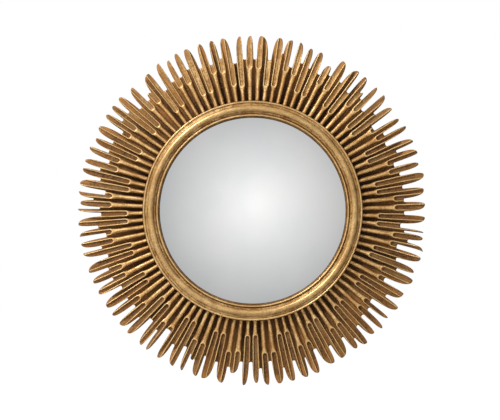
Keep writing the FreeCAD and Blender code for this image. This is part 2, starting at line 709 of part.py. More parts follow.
def ray_flute(ray):
    """The scoop along the blade: a ball-ended bar sunk a little way into the crest."""
    half, depth = size("flute_width") / 2, size("flute_depth")
    bar = (half * half + depth * depth) / (2 * depth)
    inner = fork_radius(ray) + half + 2.0
    outer = WHOLE + 15.0
    start = Vector(0, inner, crest(inner) + bar - depth)
    end = Vector(0, outer, crest(outer) + bar - depth)
    rod = Part.makeCylinder(bar, (end - start).Length, start, end - start)
    return rod.fuse(Part.makeSphere(bar, start))


def spline_box(turn, gap):
    """A loose tongue across a joint, or the slot for it when given a gap."""
    length = size("spline_length") + 2 * gap
    width = size("spline_width") + 2 * gap
    thick = size("spline_thickness") + 2 * gap
    box = Part.makeBox(width, length, thick, Vector(-width / 2, -length / 2, -thick / 2))
    level = FRONT + size("floor_thickness") / 2
    return placed(box, size("spline_circle"), turn, level)


def ray_segment(number):
    first_turn = size("ray_turn") + SEGMENT_TURN * number
    last_turn = first_turn + SEGMENT_TURN
    offset = (size("ray_turn") - size("outline_turn")) / PITCH
    first_place = RAYS_EACH * number + offset
    inner = size("segment_inner_radius")
    plan = outline_face(first_place, first_place + RAYS_EACH)
    tall = plan.extrude(Vector(0, 0, size("crest_inner_height") + CLEAR))
    tall.translate(Vector(0, 0, -CLEAR / 2))
    floor = sector(inner, WHOLE + CLEAR, first_turn, last_turn, 0.0, size("floor_thickness"))
    land = sector(inner, size("land_radius"), first_turn, last_turn, 0.0, size("land_height"))
    # The rays stop at the outside of the moulding, which stands on the land.
    seat = sector(inner - CLEAR, size("land_radius"), first_turn - PITCH, last_turn + PITCH,
                  size("land_height"), size("crest_inner_height") + CLEAR)
    rays = range(RAYS_EACH * number, RAYS_EACH * (number + 1))
    turns = {ray: size("ray_turn") + (ray + 0.5) * PITCH for ray in rays}
    ridges = [placed(ray_ridge(ray), 0.0, turns[ray]) for ray in rays]
    carved = floor.fuse([land] + ridges)
    flutes = [placed(ray_flute(ray), 0.0, turns[ray]) for ray in rays]
    carved = carved.cut([seat] + flutes)
    carved = carved.common(tall)
    carved.translate(Vector(0, 0, FRONT))
    gap = size("spline_clearance")
    cutters = [spline_box(first_turn, gap), spline_box(last_turn, gap)]
    cutters += segment_screws[2 * number:2 * number + 2] + [moulding_screws[number]]
    reach = SEGMENT_TURN / 2 + 1.0
    for index, screw in enumerate(panel_screws):
        turn = PANEL_SCREW_START + index * 360.0 / PANEL_SCREW_COUNT
        away = (turn - segment_middle(number) + 180.0) % 360.0 - 180.0
        if abs(away) < reach:
            cutters.append(screw)
    carved = carved.cut(cutters)
    return max(carved.Solids, key=lambda solid: solid.Volume)


for number in range(SEGMENT_COUNT):
    segment = doc.addObject("Part::Feature", f"segment_{number + 1:02d}")
    segment.Shape = ray_segment(number)
    node(segment, f"ray_segment_{number + 1:02d}")

spline_set = group("spline_set", [
    spline_box(size("ray_turn") + SEGMENT_TURN * number, 0.0) for number in range(SEGMENT_COUNT)
])
loose_set("segment_splines", spline_set)

# ---------------------------------------------------------------- check and write

doc.recompute()
for item in doc.Objects:
    if "Invalid" in item.State or "Error" in item.State:
        raise RuntimeError(f"{item.Name} failed: {item.State}")
for item in sub_parts:
    if item.Shape.isNull() or not item.Shape.isValid():
        raise RuntimeError(f"{item.Label} has no valid shape")
for item in sub_parts:
    item.Shape.exportStep(f"parts/{item.Label}.step")
    print(item.Label, len(item.Shape.Solids), round(item.Shape.Volume))
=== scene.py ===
import math

import bpy
import numpy as np
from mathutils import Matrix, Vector
from mathutils.geometry import delaunay_2d_cdt


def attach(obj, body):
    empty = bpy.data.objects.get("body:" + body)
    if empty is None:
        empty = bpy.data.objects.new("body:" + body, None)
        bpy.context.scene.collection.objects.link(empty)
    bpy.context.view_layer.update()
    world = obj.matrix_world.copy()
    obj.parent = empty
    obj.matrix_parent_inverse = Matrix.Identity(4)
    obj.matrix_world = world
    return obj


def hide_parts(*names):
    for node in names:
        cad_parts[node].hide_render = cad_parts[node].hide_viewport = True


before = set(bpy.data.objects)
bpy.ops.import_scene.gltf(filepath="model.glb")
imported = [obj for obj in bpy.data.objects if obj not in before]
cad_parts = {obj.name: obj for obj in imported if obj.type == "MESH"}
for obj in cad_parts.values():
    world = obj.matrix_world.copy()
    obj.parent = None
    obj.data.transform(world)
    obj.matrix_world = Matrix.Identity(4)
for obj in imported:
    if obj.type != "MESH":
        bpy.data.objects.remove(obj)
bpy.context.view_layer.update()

# ---------------------------------------------------------------- the carved ring of rays
# Ten glued limewood segments, each with ten rays cut in by hand: a half-round rod that forks into
# a flat blade with raised rims round a scooped flute. The outer edge is sawn into uneven tips.
# Gesso, red bole and gold leaf cover it, with dark washes and painted shade in every hollow, painted shade
# on the rod flanks and painted highlights on rims and crests.

MM = 0.001
RAYS = 100
SEGMENTS = 10
RAYS_EACH = RAYS // SEGMENTS
PITCH = 360.0 / RAYS
OVERALL = 457.0
BACKING_FRONT = 18.0
SEAT_INNER = 254.0
SEAT_OUTER = 286.5
FIRST_JOINT = 0.56
OUTLINE_START = 0.2

# Slots and the tips after them, clockwise from the top, ten rays to a row: the place in ray
# pitches and a letter for how far it stops short of the longest tip.
OUTLINE = (
    "0.2m 0.7a 1.72m 2.5a 2.95f 3.6a 4.02d 4.35a 5.05h 5.5b 5.97n 6.5b 7.1m 7.8s 8.2h 8.65a"
    " 9.47h 10.35a",
    "0.72m 1.1a 1.75f 1.92t 2.2h 2.5a 3.15d 3.45a 4.25h 4.9b 5.4e 6.05b 6.55m 6.95a 7.6d 8.45a"
    " 8.75h 9.55a",
    "-0.03d 0.55b 1.07m 1.6a 2.45m 3.0b 3.85m 4.37b 5.2m 5.6b 6.53d 7.02b 7.12n 7.57b 8.0g"
    " 8.75a 8.8d 9.42a",
    "0.13m 0.8b 1.12h 1.55a 2.6d 2.97b 3.95g 4.37a 5.25d 5.6b 6.13m 6.68a 7.1m 7.5b 8.22h"
    " 8.6a 9.24k 9.65b",
    "0.15h 1.2b 1.7h 2.12b 3.25m 3.8a 4.5p 4.9a 5.7h 6.15a 6.85f 7.48a 8.12m 8.5a 9.17g 9.6b",
    "0.15m 0.8a 1.17m 2.0s 2.38g 2.82a 3.68h 4.65a 4.95n 5.22a 5.92f 6.1t 6.43p 6.6a 7.25m"
    " 7.52a 8.45h 9.1a 9.72e",
    "0.35a 0.72n 1.02a 1.85d 2.65a 2.95p 3.7a 4.17m 4.75a 5.17n 5.67a 6.55m 7.07a 7.75h 8.17a"
    " 8.85h 9.2a",
    "0.17m 1.0a 1.17h 1.85a 2.33d 2.55a 3.27h 3.67a 4.55m 5.12a 5.22n 5.65b 6.1f 6.75a 6.87d"
    " 7.47a 8.15h 8.8a 9.15g 9.58a",
    "0.15m 0.9a 1.15h 1.8b 2.17h 2.85a 3.52m 4.15a 4.6g 5.13a 5.58g 6.1a 6.75m 7.6b 7.92m"
    " 8.3u 8.6p 9.55b",
    "-0.03d 0.85a 1.15m 1.8b 2.1m 2.65a 3.12h 3.62a 4.38m 5.0a 5.55m 6.1a 6.65h 7.15a 8.03d"
    " 8.8a 9.1m 9.75a",
)
TIP_DROP = {"a": 0.0, "b": 0.014, "s": 0.064, "t": 0.078, "u": 0.104}
SLOT_DROP = {"k": 0.064, "f": 0.084, "g": 0.094, "p": 0.106, "h": 0.109, "n": 0.123, "m": 0.131,
             "d": 0.149, "e": 0.165}
SLOT_WIDTH = {"k": 0.14, "f": 0.16, "g": 0.30, "p": 0.12, "h": 0.29, "n": 0.20, "m": 0.36,
              "d": 0.45, "e": 0.60}


def read_outline():
    """The slots and tips of three laps in order, places counted in ray pitches."""
    words = [(float(word[:-1]) + RAYS_EACH * row, word[-1])
             for row, text in enumerate(OUTLINE) for word in text.split()]
    pairs = []
    for lap in (-1, 0, 1):
        for (slot, deep), (tip, tall) in zip(words[0::2], words[1::2]):
            shift = lap * RAYS
            pairs.append(((slot + shift, SLOT_WIDTH[deep] / 2, 1.0 - SLOT_DROP[deep]),
                          (tip + shift, 1.0 - TIP_DROP[tall])))
    return pairs


def flat_spot(radius, turn):
    """A point facing the viewer, x right and z up, at a clockwise turn from the top."""
    swing = np.radians(turn)
    return np.stack([radius * np.sin(swing), radius * np.cos(swing)], axis=-1)


def outline_spot(place, share):
    return flat_spot(share * OVERALL, OUTLINE_START + place * PITCH)


def bent(first, corner, last, count):
    t = np.linspace(0.0, 1.0, count)[:, None]
    return (1 - t) ** 2 * first + 2 * t * (1 - t) * corner + t ** 2 * last


def flank(start, end, count):
    """One curved side of a tip, nearly upright at the slot and rounded over at the tip."""
    across = end[0] - start[0]
    first = outline_spot(*start)
    steep = outline_spot(start[0] + across * 0.1, start[1] + (end[1] - start[1]) * 0.5)
    blunt = outline_spot(end[0] - across * 0.78, end[1])
    last = outline_spot(*end)
    t = np.linspace(0.0, 1.0, count)[:, None]
    return ((1 - t) ** 3 * first + 3 * t * (1 - t) ** 2 * steep
            + 3 * t ** 2 * (1 - t) * blunt + t ** 3 * last)


def sawn_edge():
    """The whole outer edge as points in order of turn, a little over one lap."""
    points = []
    pairs = read_outline()
    for index, (slot, tip) in enumerate(pairs[:-1]):
        following = pairs[index + 1][0]
        left = outline_spot(slot[0] - slot[1], slot[2])
        right = outline_spot(slot[0] + slot[1], slot[2])
        dip = outline_spot(slot[0], slot[2] * 0.996)
        points.append(bent(left, 2 * dip - (left + right) / 2, right, 7)[:-1])
        points.append(flank((slot[0] + slot[1], slot[2]), tip, 34)[:-1])
        points.append(flank((following[0] - following[1], following[2]), tip, 34)[::-1][:-1])
    return np.concatenate(points)


def even_steps(line, step):
    """The same line with points a set distance apart."""
    lengths = np.concatenate([[0.0], np.cumsum(np.linalg.norm(np.diff(line, axis=0), axis=1))])
    marks = np.linspace(0.0, lengths[-1], max(2, int(round(lengths[-1] / step)) + 1))
    return np.stack([np.interp(marks, lengths, line[:, axis]) for axis in (0, 1)], axis=1)


def cross_joint(edge, turn):
    """Where the outer edge meets a joint line, as an index and the exact point."""
    swing = math.radians(turn)
    along = np.array([math.sin(swing), math.cos(swing)])
    side = edge[:, 0] * along[1] - edge[:, 1] * along[0]
    ahead = edge @ along
    hits = np.where((side[:-1] <= 0) & (side[1:] > 0) & (ahead[:-1] > 0))[0]
    middle = hits[np.argmin(np.abs(hits - len(edge) / 2))] if turn < 359.0 else hits[-1]
    share = side[middle] / (side[middle] - side[middle + 1])
    return middle, edge[middle] * (1 - share) + edge[middle + 1] * share


def distance_to_line(points, line):
    """Distance from each point to the nearest stretch of an open line."""
    nearest = np.full(len(points), 1e9)
    for first, last in zip(line[:-1], line[1:]):
        run = last - first
        share = np.clip(((points - first) @ run) / max(run @ run, 1e-12), 0.0, 1.0)
        nearest = np.minimum(nearest, np.linalg.norm(points - first - share[:, None] * run, axis=1))
    return nearest


def inside(points, ring):
    """True for each point inside a closed outline."""
    x, z = points[:, 0], points[:, 1]
    odd = np.zeros(len(points), dtype=bool)
    for (ax, az), (bx, bz) in zip(ring, np.roll(ring, -1, axis=0)):
        if az == bz:
            continue
        across = ((az > z) != (bz > z)) & (x < (bx - ax) * (z - az) / (bz - az) + ax)
        odd ^= across
    return odd


ROW_STEP = 2.3
COLUMNS = np.array([0.0, 1.1, 2.2, 3.2, 4.0, 4.6, 5.3, 6.1, 6.8, 7.5, 8.1, 8.7, 9.4])
ROWS = np.concatenate([[254.0, 262.0, 274.0, 285.9],
                       np.arange(287.2, OVERALL + 1.0, ROW_STEP)])
EDGE_STEP = 1.8
EDGE_INSET = 1.1
CLOSEST = 1.9


def lattice(first_ray):
    """Points along and across the rays of one segment, closer together where rims stand."""
    found = []
    for ray in range(first_ray, first_ray + RAYS_EACH):
        middle = FIRST_JOINT + (ray + 0.5) * PITCH
        for radius in ROWS[1:]:
            half_pitch = math.radians(PITCH / 2) * radius
            if radius < SEAT_OUTER:
                offsets = np.array([-half_pitch / 2, 0.0, half_pitch / 2])
            else:
                kept = COLUMNS[COLUMNS < half_pitch - 0.7]
                offsets = np.concatenate([-kept[:0:-1], kept])
                if half_pitch - kept[-1] > 2.4:
                    extra = (half_pitch + kept[-1]) / 2
                    offsets = np.concatenate([offsets, [-extra, extra]])
            turns = middle + np.degrees(offsets / radius)
            if ray > first_ray:
                turns = np.append(turns, middle - PITCH / 2)
            found.append(flat_spot(radius, turns))
    return np.concatenate(found)


def blank_segment(number, edge):
    """The sawn blank of one segment: a fine net of points on its front, plain walls and back."""
    first_turn = FIRST_JOINT + number * SEGMENTS * PITCH
    last_turn = first_turn + RAYS_EACH * PITCH
    start, start_point = cross_joint(edge, first_turn)
    finish, finish_point = cross_joint(edge, last_turn)
    outer = np.concatenate([[start_point], edge[start + 1:finish + 1], [finish_point]])
    outer = even_steps(outer, EDGE_STEP)
    reach_first = np.linalg.norm(outer[0])
    reach_last = np.linalg.norm(outer[-1])
    down = [flat_spot(radius, last_turn) for radius in ROWS[::-1] if radius < reach_last - 1.0]
    up = [flat_spot(radius, first_turn) for radius in ROWS if radius < reach_first - 1.0]
    inner = [flat_spot(SEAT_INNER, turn) for turn in np.linspace(last_turn, first_turn, 25)[1:-1]]
    ring = np.concatenate([outer, down, inner, up])
    along = np.gradient(outer, axis=0)
    along /= np.linalg.norm(along, axis=1)[:, None]
    inset = outer + EDGE_INSET * np.stack([along[:, 1], -along[:, 0]], axis=1)
    inset = inset[2:-2]
    grid = lattice(number * RAYS_EACH)
    grid = grid[inside(grid, ring)]
    keep_inset = inside(inset, ring) & (distance_to_line(inset, outer) > EDGE_INSET * 0.9)
    keep_inset &= distance_to_line(inset, ring[len(outer) - 1:]) > EDGE_INSET * 0.9
    inset = inset[keep_inset]
    near = distance_to_line(grid, outer)
    grid = grid[near > CLOSEST]
    plan = np.concatenate([ring, inset, grid])
    away = distance_to_line(plan, outer)
    away[:len(outer)] = 0.0
    loop = list(range(len(ring)))
    verts, _, faces, origins, _, _ = delaunay_2d_cdt(
        [Vector((x, z)) for x, z in plan.tolist()], [], [loop], 1, 1e-5)
    source = [ids[0] if ids else 0 for ids in origins]
    place = {old: new for new, ids in enumerate(origins) for old in ids}
    rim = [place[index] for index in loop]
    back_verts, _, back_faces, back_origins, _, _ = delaunay_2d_cdt(
        [Vector((x, z)) for x, z in ring.tolist()], [], [loop], 1, 1e-5)
    low = {old: new for new, ids in enumerate(back_origins) for old in ids}
    count = len(verts)
    points = [(v.x * MM, -(BACKING_FRONT + 10.0) * MM, v.y * MM) for v in verts]
    points += [(v.x * MM, -BACKING_FRONT * MM, v.y * MM) for v in back_verts]
    polygons = [tuple(face) for face in faces]
    front_faces = len(polygons)
    polygons += [tuple(count + index for index in face[::-1]) for face in back_faces]
    wall_start = len(polygons)
    for index in loop:
        after = (index + 1) % len(loop)
        polygons.append((rim[after], rim[index], count + low[index], count + low[after]))
    mesh = bpy.data.meshes.new(f"ray_blank_{number + 1:02d}")
    mesh.from_pydata(points, [], polygons)
    mesh.attributes.new("front", "FLOAT", "POINT").data.foreach_set(
        "value", [1.0] * count + [0.0] * len(back_verts))
    mesh.attributes.new("edge", "FLOAT", "POINT").data.foreach_set(
        "value", [float(away[index]) for index in source] + [0.0] * len(back_verts))
    rear = [False] * front_faces + [True] * (wall_start - front_faces)
    rear += [False] * (len(polygons) - wall_start)
    mesh.attributes.new("rear", "BOOLEAN", "FACE").data.foreach_set("value", rear)
    mesh.shade_smooth()
    borders = {tuple(sorted((rim[index], rim[(index + 1) % len(loop)]))) for index in loop}
    borders |= {tuple(sorted((count + low[index], count + low[(index + 1) % len(loop)])))
                for index in loop}
    sharp = [tuple(sorted(edge_line.vertices)) in borders for edge_line in mesh.edges]
    mesh.attributes.new("sharp_edge", "BOOLEAN", "EDGE").data.foreach_set("value", sharp)
    return mesh


def in_scene(name, data):
    """An object made from a mesh, lamp or camera, put into the scene at the origin."""
    thing = bpy.data.objects.new(name, data)
    bpy.context.scene.collection.objects.link(thing)
    return thing


class Field:
    """A value worked out at every point by nodes, written as a plain sum."""

    def __init__(self, tree, socket):
        self.tree = tree
        self.socket = socket

    def math(self, operation, *others, clamp=False):
        node = self.tree.nodes.new("ShaderNodeMath")
        node.operation = operation
        node.use_clamp = clamp
        for slot, value in zip(node.inputs, (self,) + others):
            if isinstance(value, Field):
                self.tree.links.new(value.socket, slot)
            else:
                slot.default_value = value
        return Field(self.tree, node.outputs[0])

    def __add__(self, other):
        return self.math("ADD", other)

    def __sub__(self, other):
        return self.math("SUBTRACT", other)

    def __mul__(self, other):
        return self.math("MULTIPLY", other)

    def __truediv__(self, other):
        return self.math("DIVIDE", other)

    def power(self, other):
        return self.math("POWER", other)

    def size(self):
        return self.math("ABSOLUTE")

    def root(self):
        return self.math("MAXIMUM", 0.0).math("SQRT")

    def held(self):
        """Kept between nought and one."""
        return self.math("ADD", 0.0, clamp=True)

    def step(self, low, high, smooth=True):
        """Nought below one value, one above another, eased between."""
        node = self.tree.nodes.new("ShaderNodeMapRange")
        node.interpolation_type = "SMOOTHSTEP" if smooth else "LINEAR"
        for name, value in (("Value", self), ("From Min", low), ("From Max", high)):
            if isinstance(value, Field):
                self.tree.links.new(value.socket, node.inputs[name])
            else:
                node.inputs[name].default_value = value
        return Field(self.tree, node.outputs["Result"])

    def toward(self, other, share):
        """This value, moved a share of the way to another."""
        return self + (other - self) * share


def tree_with(name, inputs):
    """A geometry node tree with a mesh in and out and named number inputs."""
    tree = bpy.data.node_groups.new(name, "GeometryNodeTree")
    tree.interface.new_socket("Geometry", in_out="INPUT", socket_type="NodeSocketGeometry")
    for label, kind in inputs:
        tree.interface.new_socket(label, in_out="INPUT", socket_type=kind)
    tree.interface.new_socket("Geometry", in_out="OUTPUT", socket_type="NodeSocketGeometry")
    return tree, tree.nodes.new("NodeGroupInput"), tree.nodes.new("NodeGroupOutput")


def run_tree(thing, tree, values, name):
    """Applies a tree to an object and returns its result as a plain mesh object."""
    modifier = thing.modifiers.new(tree.name, "NODES")
    modifier.node_group = tree
    for item in tree.interface.items_tree:
        if item.in_out == "INPUT" and item.name in values:
            modifier[item.identifier] = values[item.name]
    bpy.context.view_layer.update()
    ready = thing.evaluated_get(bpy.context.evaluated_depsgraph_get())
    mesh = bpy.data.meshes.new_from_object(ready)
    thing.modifiers.remove(modifier)
    piece = in_scene(name, mesh)
    bpy.data.objects.remove(thing)
    mesh.name = name
    return piece


def noise(tree, vector, scale, detail=3.0, rough=0.5, distortion=0.0):
    """A cloud of values from nought to one, its vector a socket or None."""
    node = tree.nodes.new("ShaderNodeTexNoise")
    node.inputs["Scale"].default_value = scale
    node.inputs["Detail"].default_value = detail
    node.inputs["Roughness"].default_value = rough
    node.inputs["Distortion"].default_value = distortion
    if vector is not None:
        tree.links.new(vector, node.inputs["Vector"])
    return Field(tree, node.outputs[0])


def kept_value(tree, name, kind):
    """A value that the mesh carries under a name."""
    node = tree.nodes.new("GeometryNodeInputNamedAttribute")
    node.data_type = kind
    node.inputs["Name"].default_value = name
    return Field(tree, node.outputs["Attribute"])


WEAR_WIDTH = 1.25
WEAR_DEPTH = 1.7


def carving_tree():
    """Cuts rods, forks, rims and flutes into the flat front of a blank."""
    numbers = [(label, "NodeSocketFloat") for label in (
        "Rod Half Width", "Late Rod Half Width", "Blade Half Width", "Early Fork", "Late Fork",
        "Inner Crest", "Outer Crest", "Floor", "Flute Half Width", "Flute Depth", "Rim Height",
        "Unevenness")] + [("Seed", "NodeSocketInt"), ("Gilding", "NodeSocketMaterial"),
                          ("Bare Back", "NodeSocketMaterial")]
    tree, given, result = tree_with("carve_rays", numbers)
    new, link = tree.nodes.new, tree.links.new

    def put(label):
        return Field(tree, given.outputs[label])

    spot = new("GeometryNodeInputPosition")
    split = new("ShaderNodeSeparateXYZ")
    link(spot.outputs[0], split.inputs[0])
    across, up = Field(tree, split.outputs[0]), Field(tree, split.outputs[2])
    radius = (across * across + up * up).root() * (1.0 / MM)
    turn = across.math("ARCTAN2", up) * (180.0 / math.pi)
    place = (turn - FIRST_JOINT) / PITCH + RAYS
    ray = place.math("FLOOR")
    chance = new("FunctionNodeRandomValue")
    chance.data_type = "FLOAT"
    link(ray.socket, chance.inputs["ID"])
    link(given.outputs["Seed"], chance.inputs["Seed"])
    luck = Field(tree, chance.outputs[1])
    kind = ray.math("FLOORED_MODULO", 4.0)
    early = (kind - 1.5).size().math("LESS_THAN", 1.0)
    waver = noise(tree, spot.outputs[0], 22.0, 1.0) - 0.5
    offset = (place - ray - 0.5) * math.radians(PITCH) * radius
    offset = offset + waver * put("Unevenness") * 2.2
    fork = put("Late Fork").toward(put("Early Fork"), early) + (luck - 0.5) * 5.0
    forked = radius.step(fork - 9.0, fork + 5.0)
    late_rod = put("Rod Half Width").toward(put("Late Rod Half Width"), radius.step(290.0, 366.0, False))
    rod = late_rod.toward(put("Rod Half Width"), early)
    blade = put("Blade Half Width") + (radius - 324.0) * 0.012
    half = rod.toward(blade, forked)
    share = (offset.size() / half).math("MINIMUM", 1.0)
    fullness = forked * 2.2 + 2.8
    dome = (share.power(fullness) * -1.0 + 1.0).root()
    crest = put("Inner Crest").toward(put("Outer Crest"), radius.step(286.5, OVERALL, False))
    crest = crest + (luck - 0.5) * 1.2
    body = (crest - put("Floor")) * dome
    start = fork + 8.5
    ahead = (start - radius).math("MAXIMUM", 0.0)
    reach = (offset * offset + ahead * ahead).root()
    spread = put("Flute Half Width") + (radius - 324.0).math("MAXIMUM", 0.0) * 0.013
    scoop = (reach / spread).math("MINIMUM", 1.0)
    sunk = (scoop.power(4.0) * -1.0 + 1.0).power(0.6)
    ripple = (noise(tree, spot.outputs[0], 160.0, 2.0) - 0.5) * sunk * put("Unevenness") * 1.6
    hollow = sunk * put("Flute Depth")
    rim_gap = (reach - spread - 1.4) / 0.9
    rim = (rim_gap * rim_gap * -1.0).math("EXPONENT") * put("Rim Height")
    rim = rim * radius.step(fork - 4.0, fork + 3.0)
    rough = (noise(tree, spot.outputs[0], 70.0, 3.0) - 0.5) * put("Unevenness")
    near = kept_value(tree, "edge", "FLOAT") / WEAR_WIDTH
    worn = (near * near * -1.0).math("EXPONENT") * WEAR_DEPTH
    carved = put("Floor") + body - hollow + rim + ripple + rough - worn
    carved = carved.math("MAXIMUM", 4.0)
    seat = radius.math("LESS_THAN", 286.4)
    height = carved.toward(put("Floor") + 5.9, seat)
    chosen = kept_value(tree, "front", "FLOAT").math("GREATER_THAN", 0.5)
    join = new("ShaderNodeCombineXYZ")
    link(split.outputs[0], join.inputs[0])
    link(((height + BACKING_FRONT) * -MM).socket, join.inputs[1])
    link(split.outputs[2], join.inputs[2])
    move = new("GeometryNodeSetPosition")
    link(given.outputs["Geometry"], move.inputs["Geometry"])
    link(chosen.socket, move.inputs["Selection"])
    link(join.outputs[0], move.inputs["Position"])
    last = move.outputs[0]
    relief = ((height - put("Floor")) / (crest - put("Floor"))).held()
    groove_chance = new("FunctionNodeRandomValue")
    groove_chance.data_type = "FLOAT"
    link((place + 0.5).math("FLOOR").socket, groove_chance.inputs["ID"])
    link(given.outputs["Seed"], groove_chance.inputs["Seed"])
    groove = Field(tree, groove_chance.outputs[1])
    for label, value in (("relief", relief), ("flute", sunk), ("rim", rim / put("Rim Height")),
                         ("luck", luck), ("bareness", (near * near * -1.0).math("EXPONENT")),
                         ("side", share * (seat * -1.0 + 1.0)), ("groove", groove),
                         ("outward", radius.step(290.0, 440.0, False))):
        store = new("GeometryNodeStoreNamedAttribute")
        store.data_type = "FLOAT"
        store.domain = "POINT"
        store.inputs["Name"].default_value = label
        link(last, store.inputs["Geometry"])
        link(value.socket, store.inputs["Value"])
        last = store.outputs[0]
    whole = new("GeometryNodeRealizeInstances")
    link(last, whole.inputs[0])
    gild = new("GeometryNodeSetMaterial")
    link(whole.outputs[0], gild.inputs["Geometry"])
    link(given.outputs["Gilding"], gild.inputs["Material"])
    bare = new("GeometryNodeSetMaterial")
    link(gild.outputs[0], bare.inputs["Geometry"])
    link(kept_value(tree, "rear", "BOOLEAN").socket, bare.inputs["Selection"])
    link(given.outputs["Bare Back"], bare.inputs["Material"])
    link(bare.outputs[0], result.inputs[0])
    return tree


def colour(red, green, blue):
    """A colour as it looks on paper, from 0 to 255, as the shader wants it."""
    def linear(value):
        value /= 255.0
        return value / 12.92 if value <= 0.04045 else ((value + 0.055) / 1.055) ** 2.4
    return (linear(red), linear(green), linear(blue), 1.0)


def blended(tree, share, first, second):
    """One colour going over into another by a share from nought to one."""
    node = tree.nodes.new("ShaderNodeMix")
    node.data_type = "RGBA"
    tree.links.new(share.socket, node.inputs["Factor"])
    for slot, value in ((node.inputs[6], first), (node.inputs[7], second)):
        if isinstance(value, tuple):
            slot.default_value = value
        else:
            tree.links.new(value, slot)
    return node.outputs[2]


def gilding_group():
    """Gold leaf over bole, dark washes and painted shade in the hollows and on the flanks, and painted
    highlights on rims and crests: colour, roughness and height from the carved relief.
    """
    group = bpy.data.node_groups.new("leaf_wash_and_painted_light", "ShaderNodeTree")
    face = group.interface
    for label in ("Relief", "Hollow", "Rim", "Luck", "Bareness", "Side", "Groove", "Outward", "Age"):
        face.new_socket(label, in_out="INPUT", socket_type="NodeSocketFloat")
    for label, kind in (("Colour", "NodeSocketColor"), ("Metal", "NodeSocketFloat"),
                        ("Roughness", "NodeSocketFloat"), ("Height", "NodeSocketFloat")):
        face.new_socket(label, in_out="OUTPUT", socket_type=kind)
    given, result = group.nodes.new("NodeGroupInput"), group.nodes.new("NodeGroupOutput")
    link = group.links.new
    where = group.nodes.new("ShaderNodeTexCoord").outputs["Object"]
    relief, hollow, rim, luck, bareness, side, groove, outward, age = (
        Field(group, given.outputs[label]) for label in
        ("Relief", "Hollow", "Rim", "Luck", "Bareness", "Side", "Groove", "Outward", "Age"))
    cloud = noise(group, where, 15.0, 4.0, 0.6)
    patch = noise(group, where, 46.0, 3.0, 0.6)
    speck = noise(group, where, 210.0, 4.0, 0.65)
    crackle = noise(group, where, 620.0, 2.0, 0.6)
    place = group.nodes.new("ShaderNodeSeparateXYZ")
    link(where, place.inputs[0])
    across, up = Field(group, place.outputs[0]), Field(group, place.outputs[2])
    away = (across * across + up * up + 0.000001).root()
    upward = (up / away).step(0.45, 0.95)
    turned = group.nodes.new("ShaderNodeCombineXYZ")
    for slot, value in zip(turned.inputs, (across / away * 0.05, up / away * 0.05, away)):
        link(value.socket, slot)
    streak = noise(group, turned.outputs[0], 330.0, 3.0, 0.6)
    fanned = group.nodes.new("ShaderNodeCombineXYZ")
    for slot, value in zip(fanned.inputs, (across / away * 0.4, up / away * 0.4, away * 0.08)):
        link(value.socket, slot)
    stroke = noise(group, fanned.outputs[0], 330.0, 3.0, 0.6)
    gold = blended(group, cloud.step(0.32, 0.7), colour(184, 138, 78), colour(222, 182, 122))
    carved_only = age * -1.0 + 1.0
    gold = blended(group, stroke.step(0.50, 0.60) * 0.6 * carved_only, gold, colour(116, 74, 34))
    gold = blended(group, stroke.step(0.46, 0.36) * 0.55 * carved_only, gold, colour(240, 208, 154))
    gold = blended(group, patch.step(0.45, 0.66) * 0.6, gold, colour(148, 98, 46))
    gold = blended(group, speck.step(0.50, 0.64) * 0.7, gold, colour(104, 66, 30))
    gold = blended(group, luck.step(0.6, 1.0) * 0.45, gold, colour(160, 112, 60))
    # Painted shade: each rod and blade goes dark brown towards its two sides, for the light falling off
    # round its curve.
    painted_flank_shade = side.step(0.5, 1.0) * (speck * 0.5 + 0.62) * 0.9
    gold = blended(group, painted_flank_shade.held(), gold, colour(92, 56, 24))
    old = age * (streak.step(0.40, 0.64) * 0.65 + 0.16)
    gold = blended(group, old.held(), gold, colour(92, 58, 22))
    # Painted highlight: a light gold line along the crest of each rod and moulding round, and on the
    # raised rims and bead tops.
    painted_crest_highlight = relief.step(0.93, 1.0) * side.step(0.5, 0.0) * 0.3
    painted_highlight = rim * (speck.step(0.25, 0.5) * 0.35 + 0.65) + painted_crest_highlight
    gold = blended(group, painted_highlight.held() * 0.85, gold, colour(240, 206, 146))
    # Washed-in dark brown in the flutes, with painted shade: the flutes are left lighter in the top sector
    # of the ring and darker on the sides and bottom, for how the light falls into them.
    stain = hollow.step(0.1, 0.65) * (speck.step(0.72, 0.35) * 0.4 + patch * 0.3 + 0.5)
    stain = (stain * (luck * 0.25 + 0.85) * (upward * -0.7 + 1.0)).held()
    stained = blended(group, patch.step(0.35, 0.65), colour(66, 38, 14), colour(104, 66, 30))
    gold = blended(group, stain, gold, stained)
    # Painted shade with washed-in dark brown in all low places: the grooves between rods and the valleys
    # of the moulding go dark brown, darkest next to the moulding and lighter outwards.
    low = relief.step(0.60, 0.10)
    shade = (low + (speck - 0.5) * 0.5 * low.step(0.0, 0.3)).held()
    tint = groove * 0.6 + outward * 0.75 + (patch - 0.5) * 0.6 - 0.30
    groove_wash_and_shade = blended(group, tint.held(), colour(54, 30, 12), colour(156, 108, 58))
    groove_wash_and_shade = blended(group, speck.step(0.5, 0.7) * (outward * 0.6 + 0.15), groove_wash_and_shade, colour(176, 130, 76))
    body = blended(group, shade, gold, groove_wash_and_shade)
    bole = (bareness.step(0.25, 0.8) * (speck.step(0.4, 0.6) * 0.6 + 0.35)).held()
    body = blended(group, bole, body, colour(92, 54, 24))
    link(body, result.inputs["Colour"])
    covered = (shade * 0.9 + stain * 0.8 + bole * 0.7).held()
    link((covered * -0.40 + 0.40).socket, result.inputs["Metal"])
    link((covered * 0.3 + speck * 0.16 + 0.36 - age * 0.1).socket, result.inputs["Roughness"])
    link((speck * 0.6 + crackle * 0.25 + cloud * 0.3).socket, result.inputs["Height"])
    return group


def surface(name):
    """A fresh material with its node tree and main shader."""
    material = bpy.data.materials.new(name)
    material.use_nodes = True
    tree = material.node_tree
    shader = tree.nodes["Principled BSDF"]
    return material, tree, shader


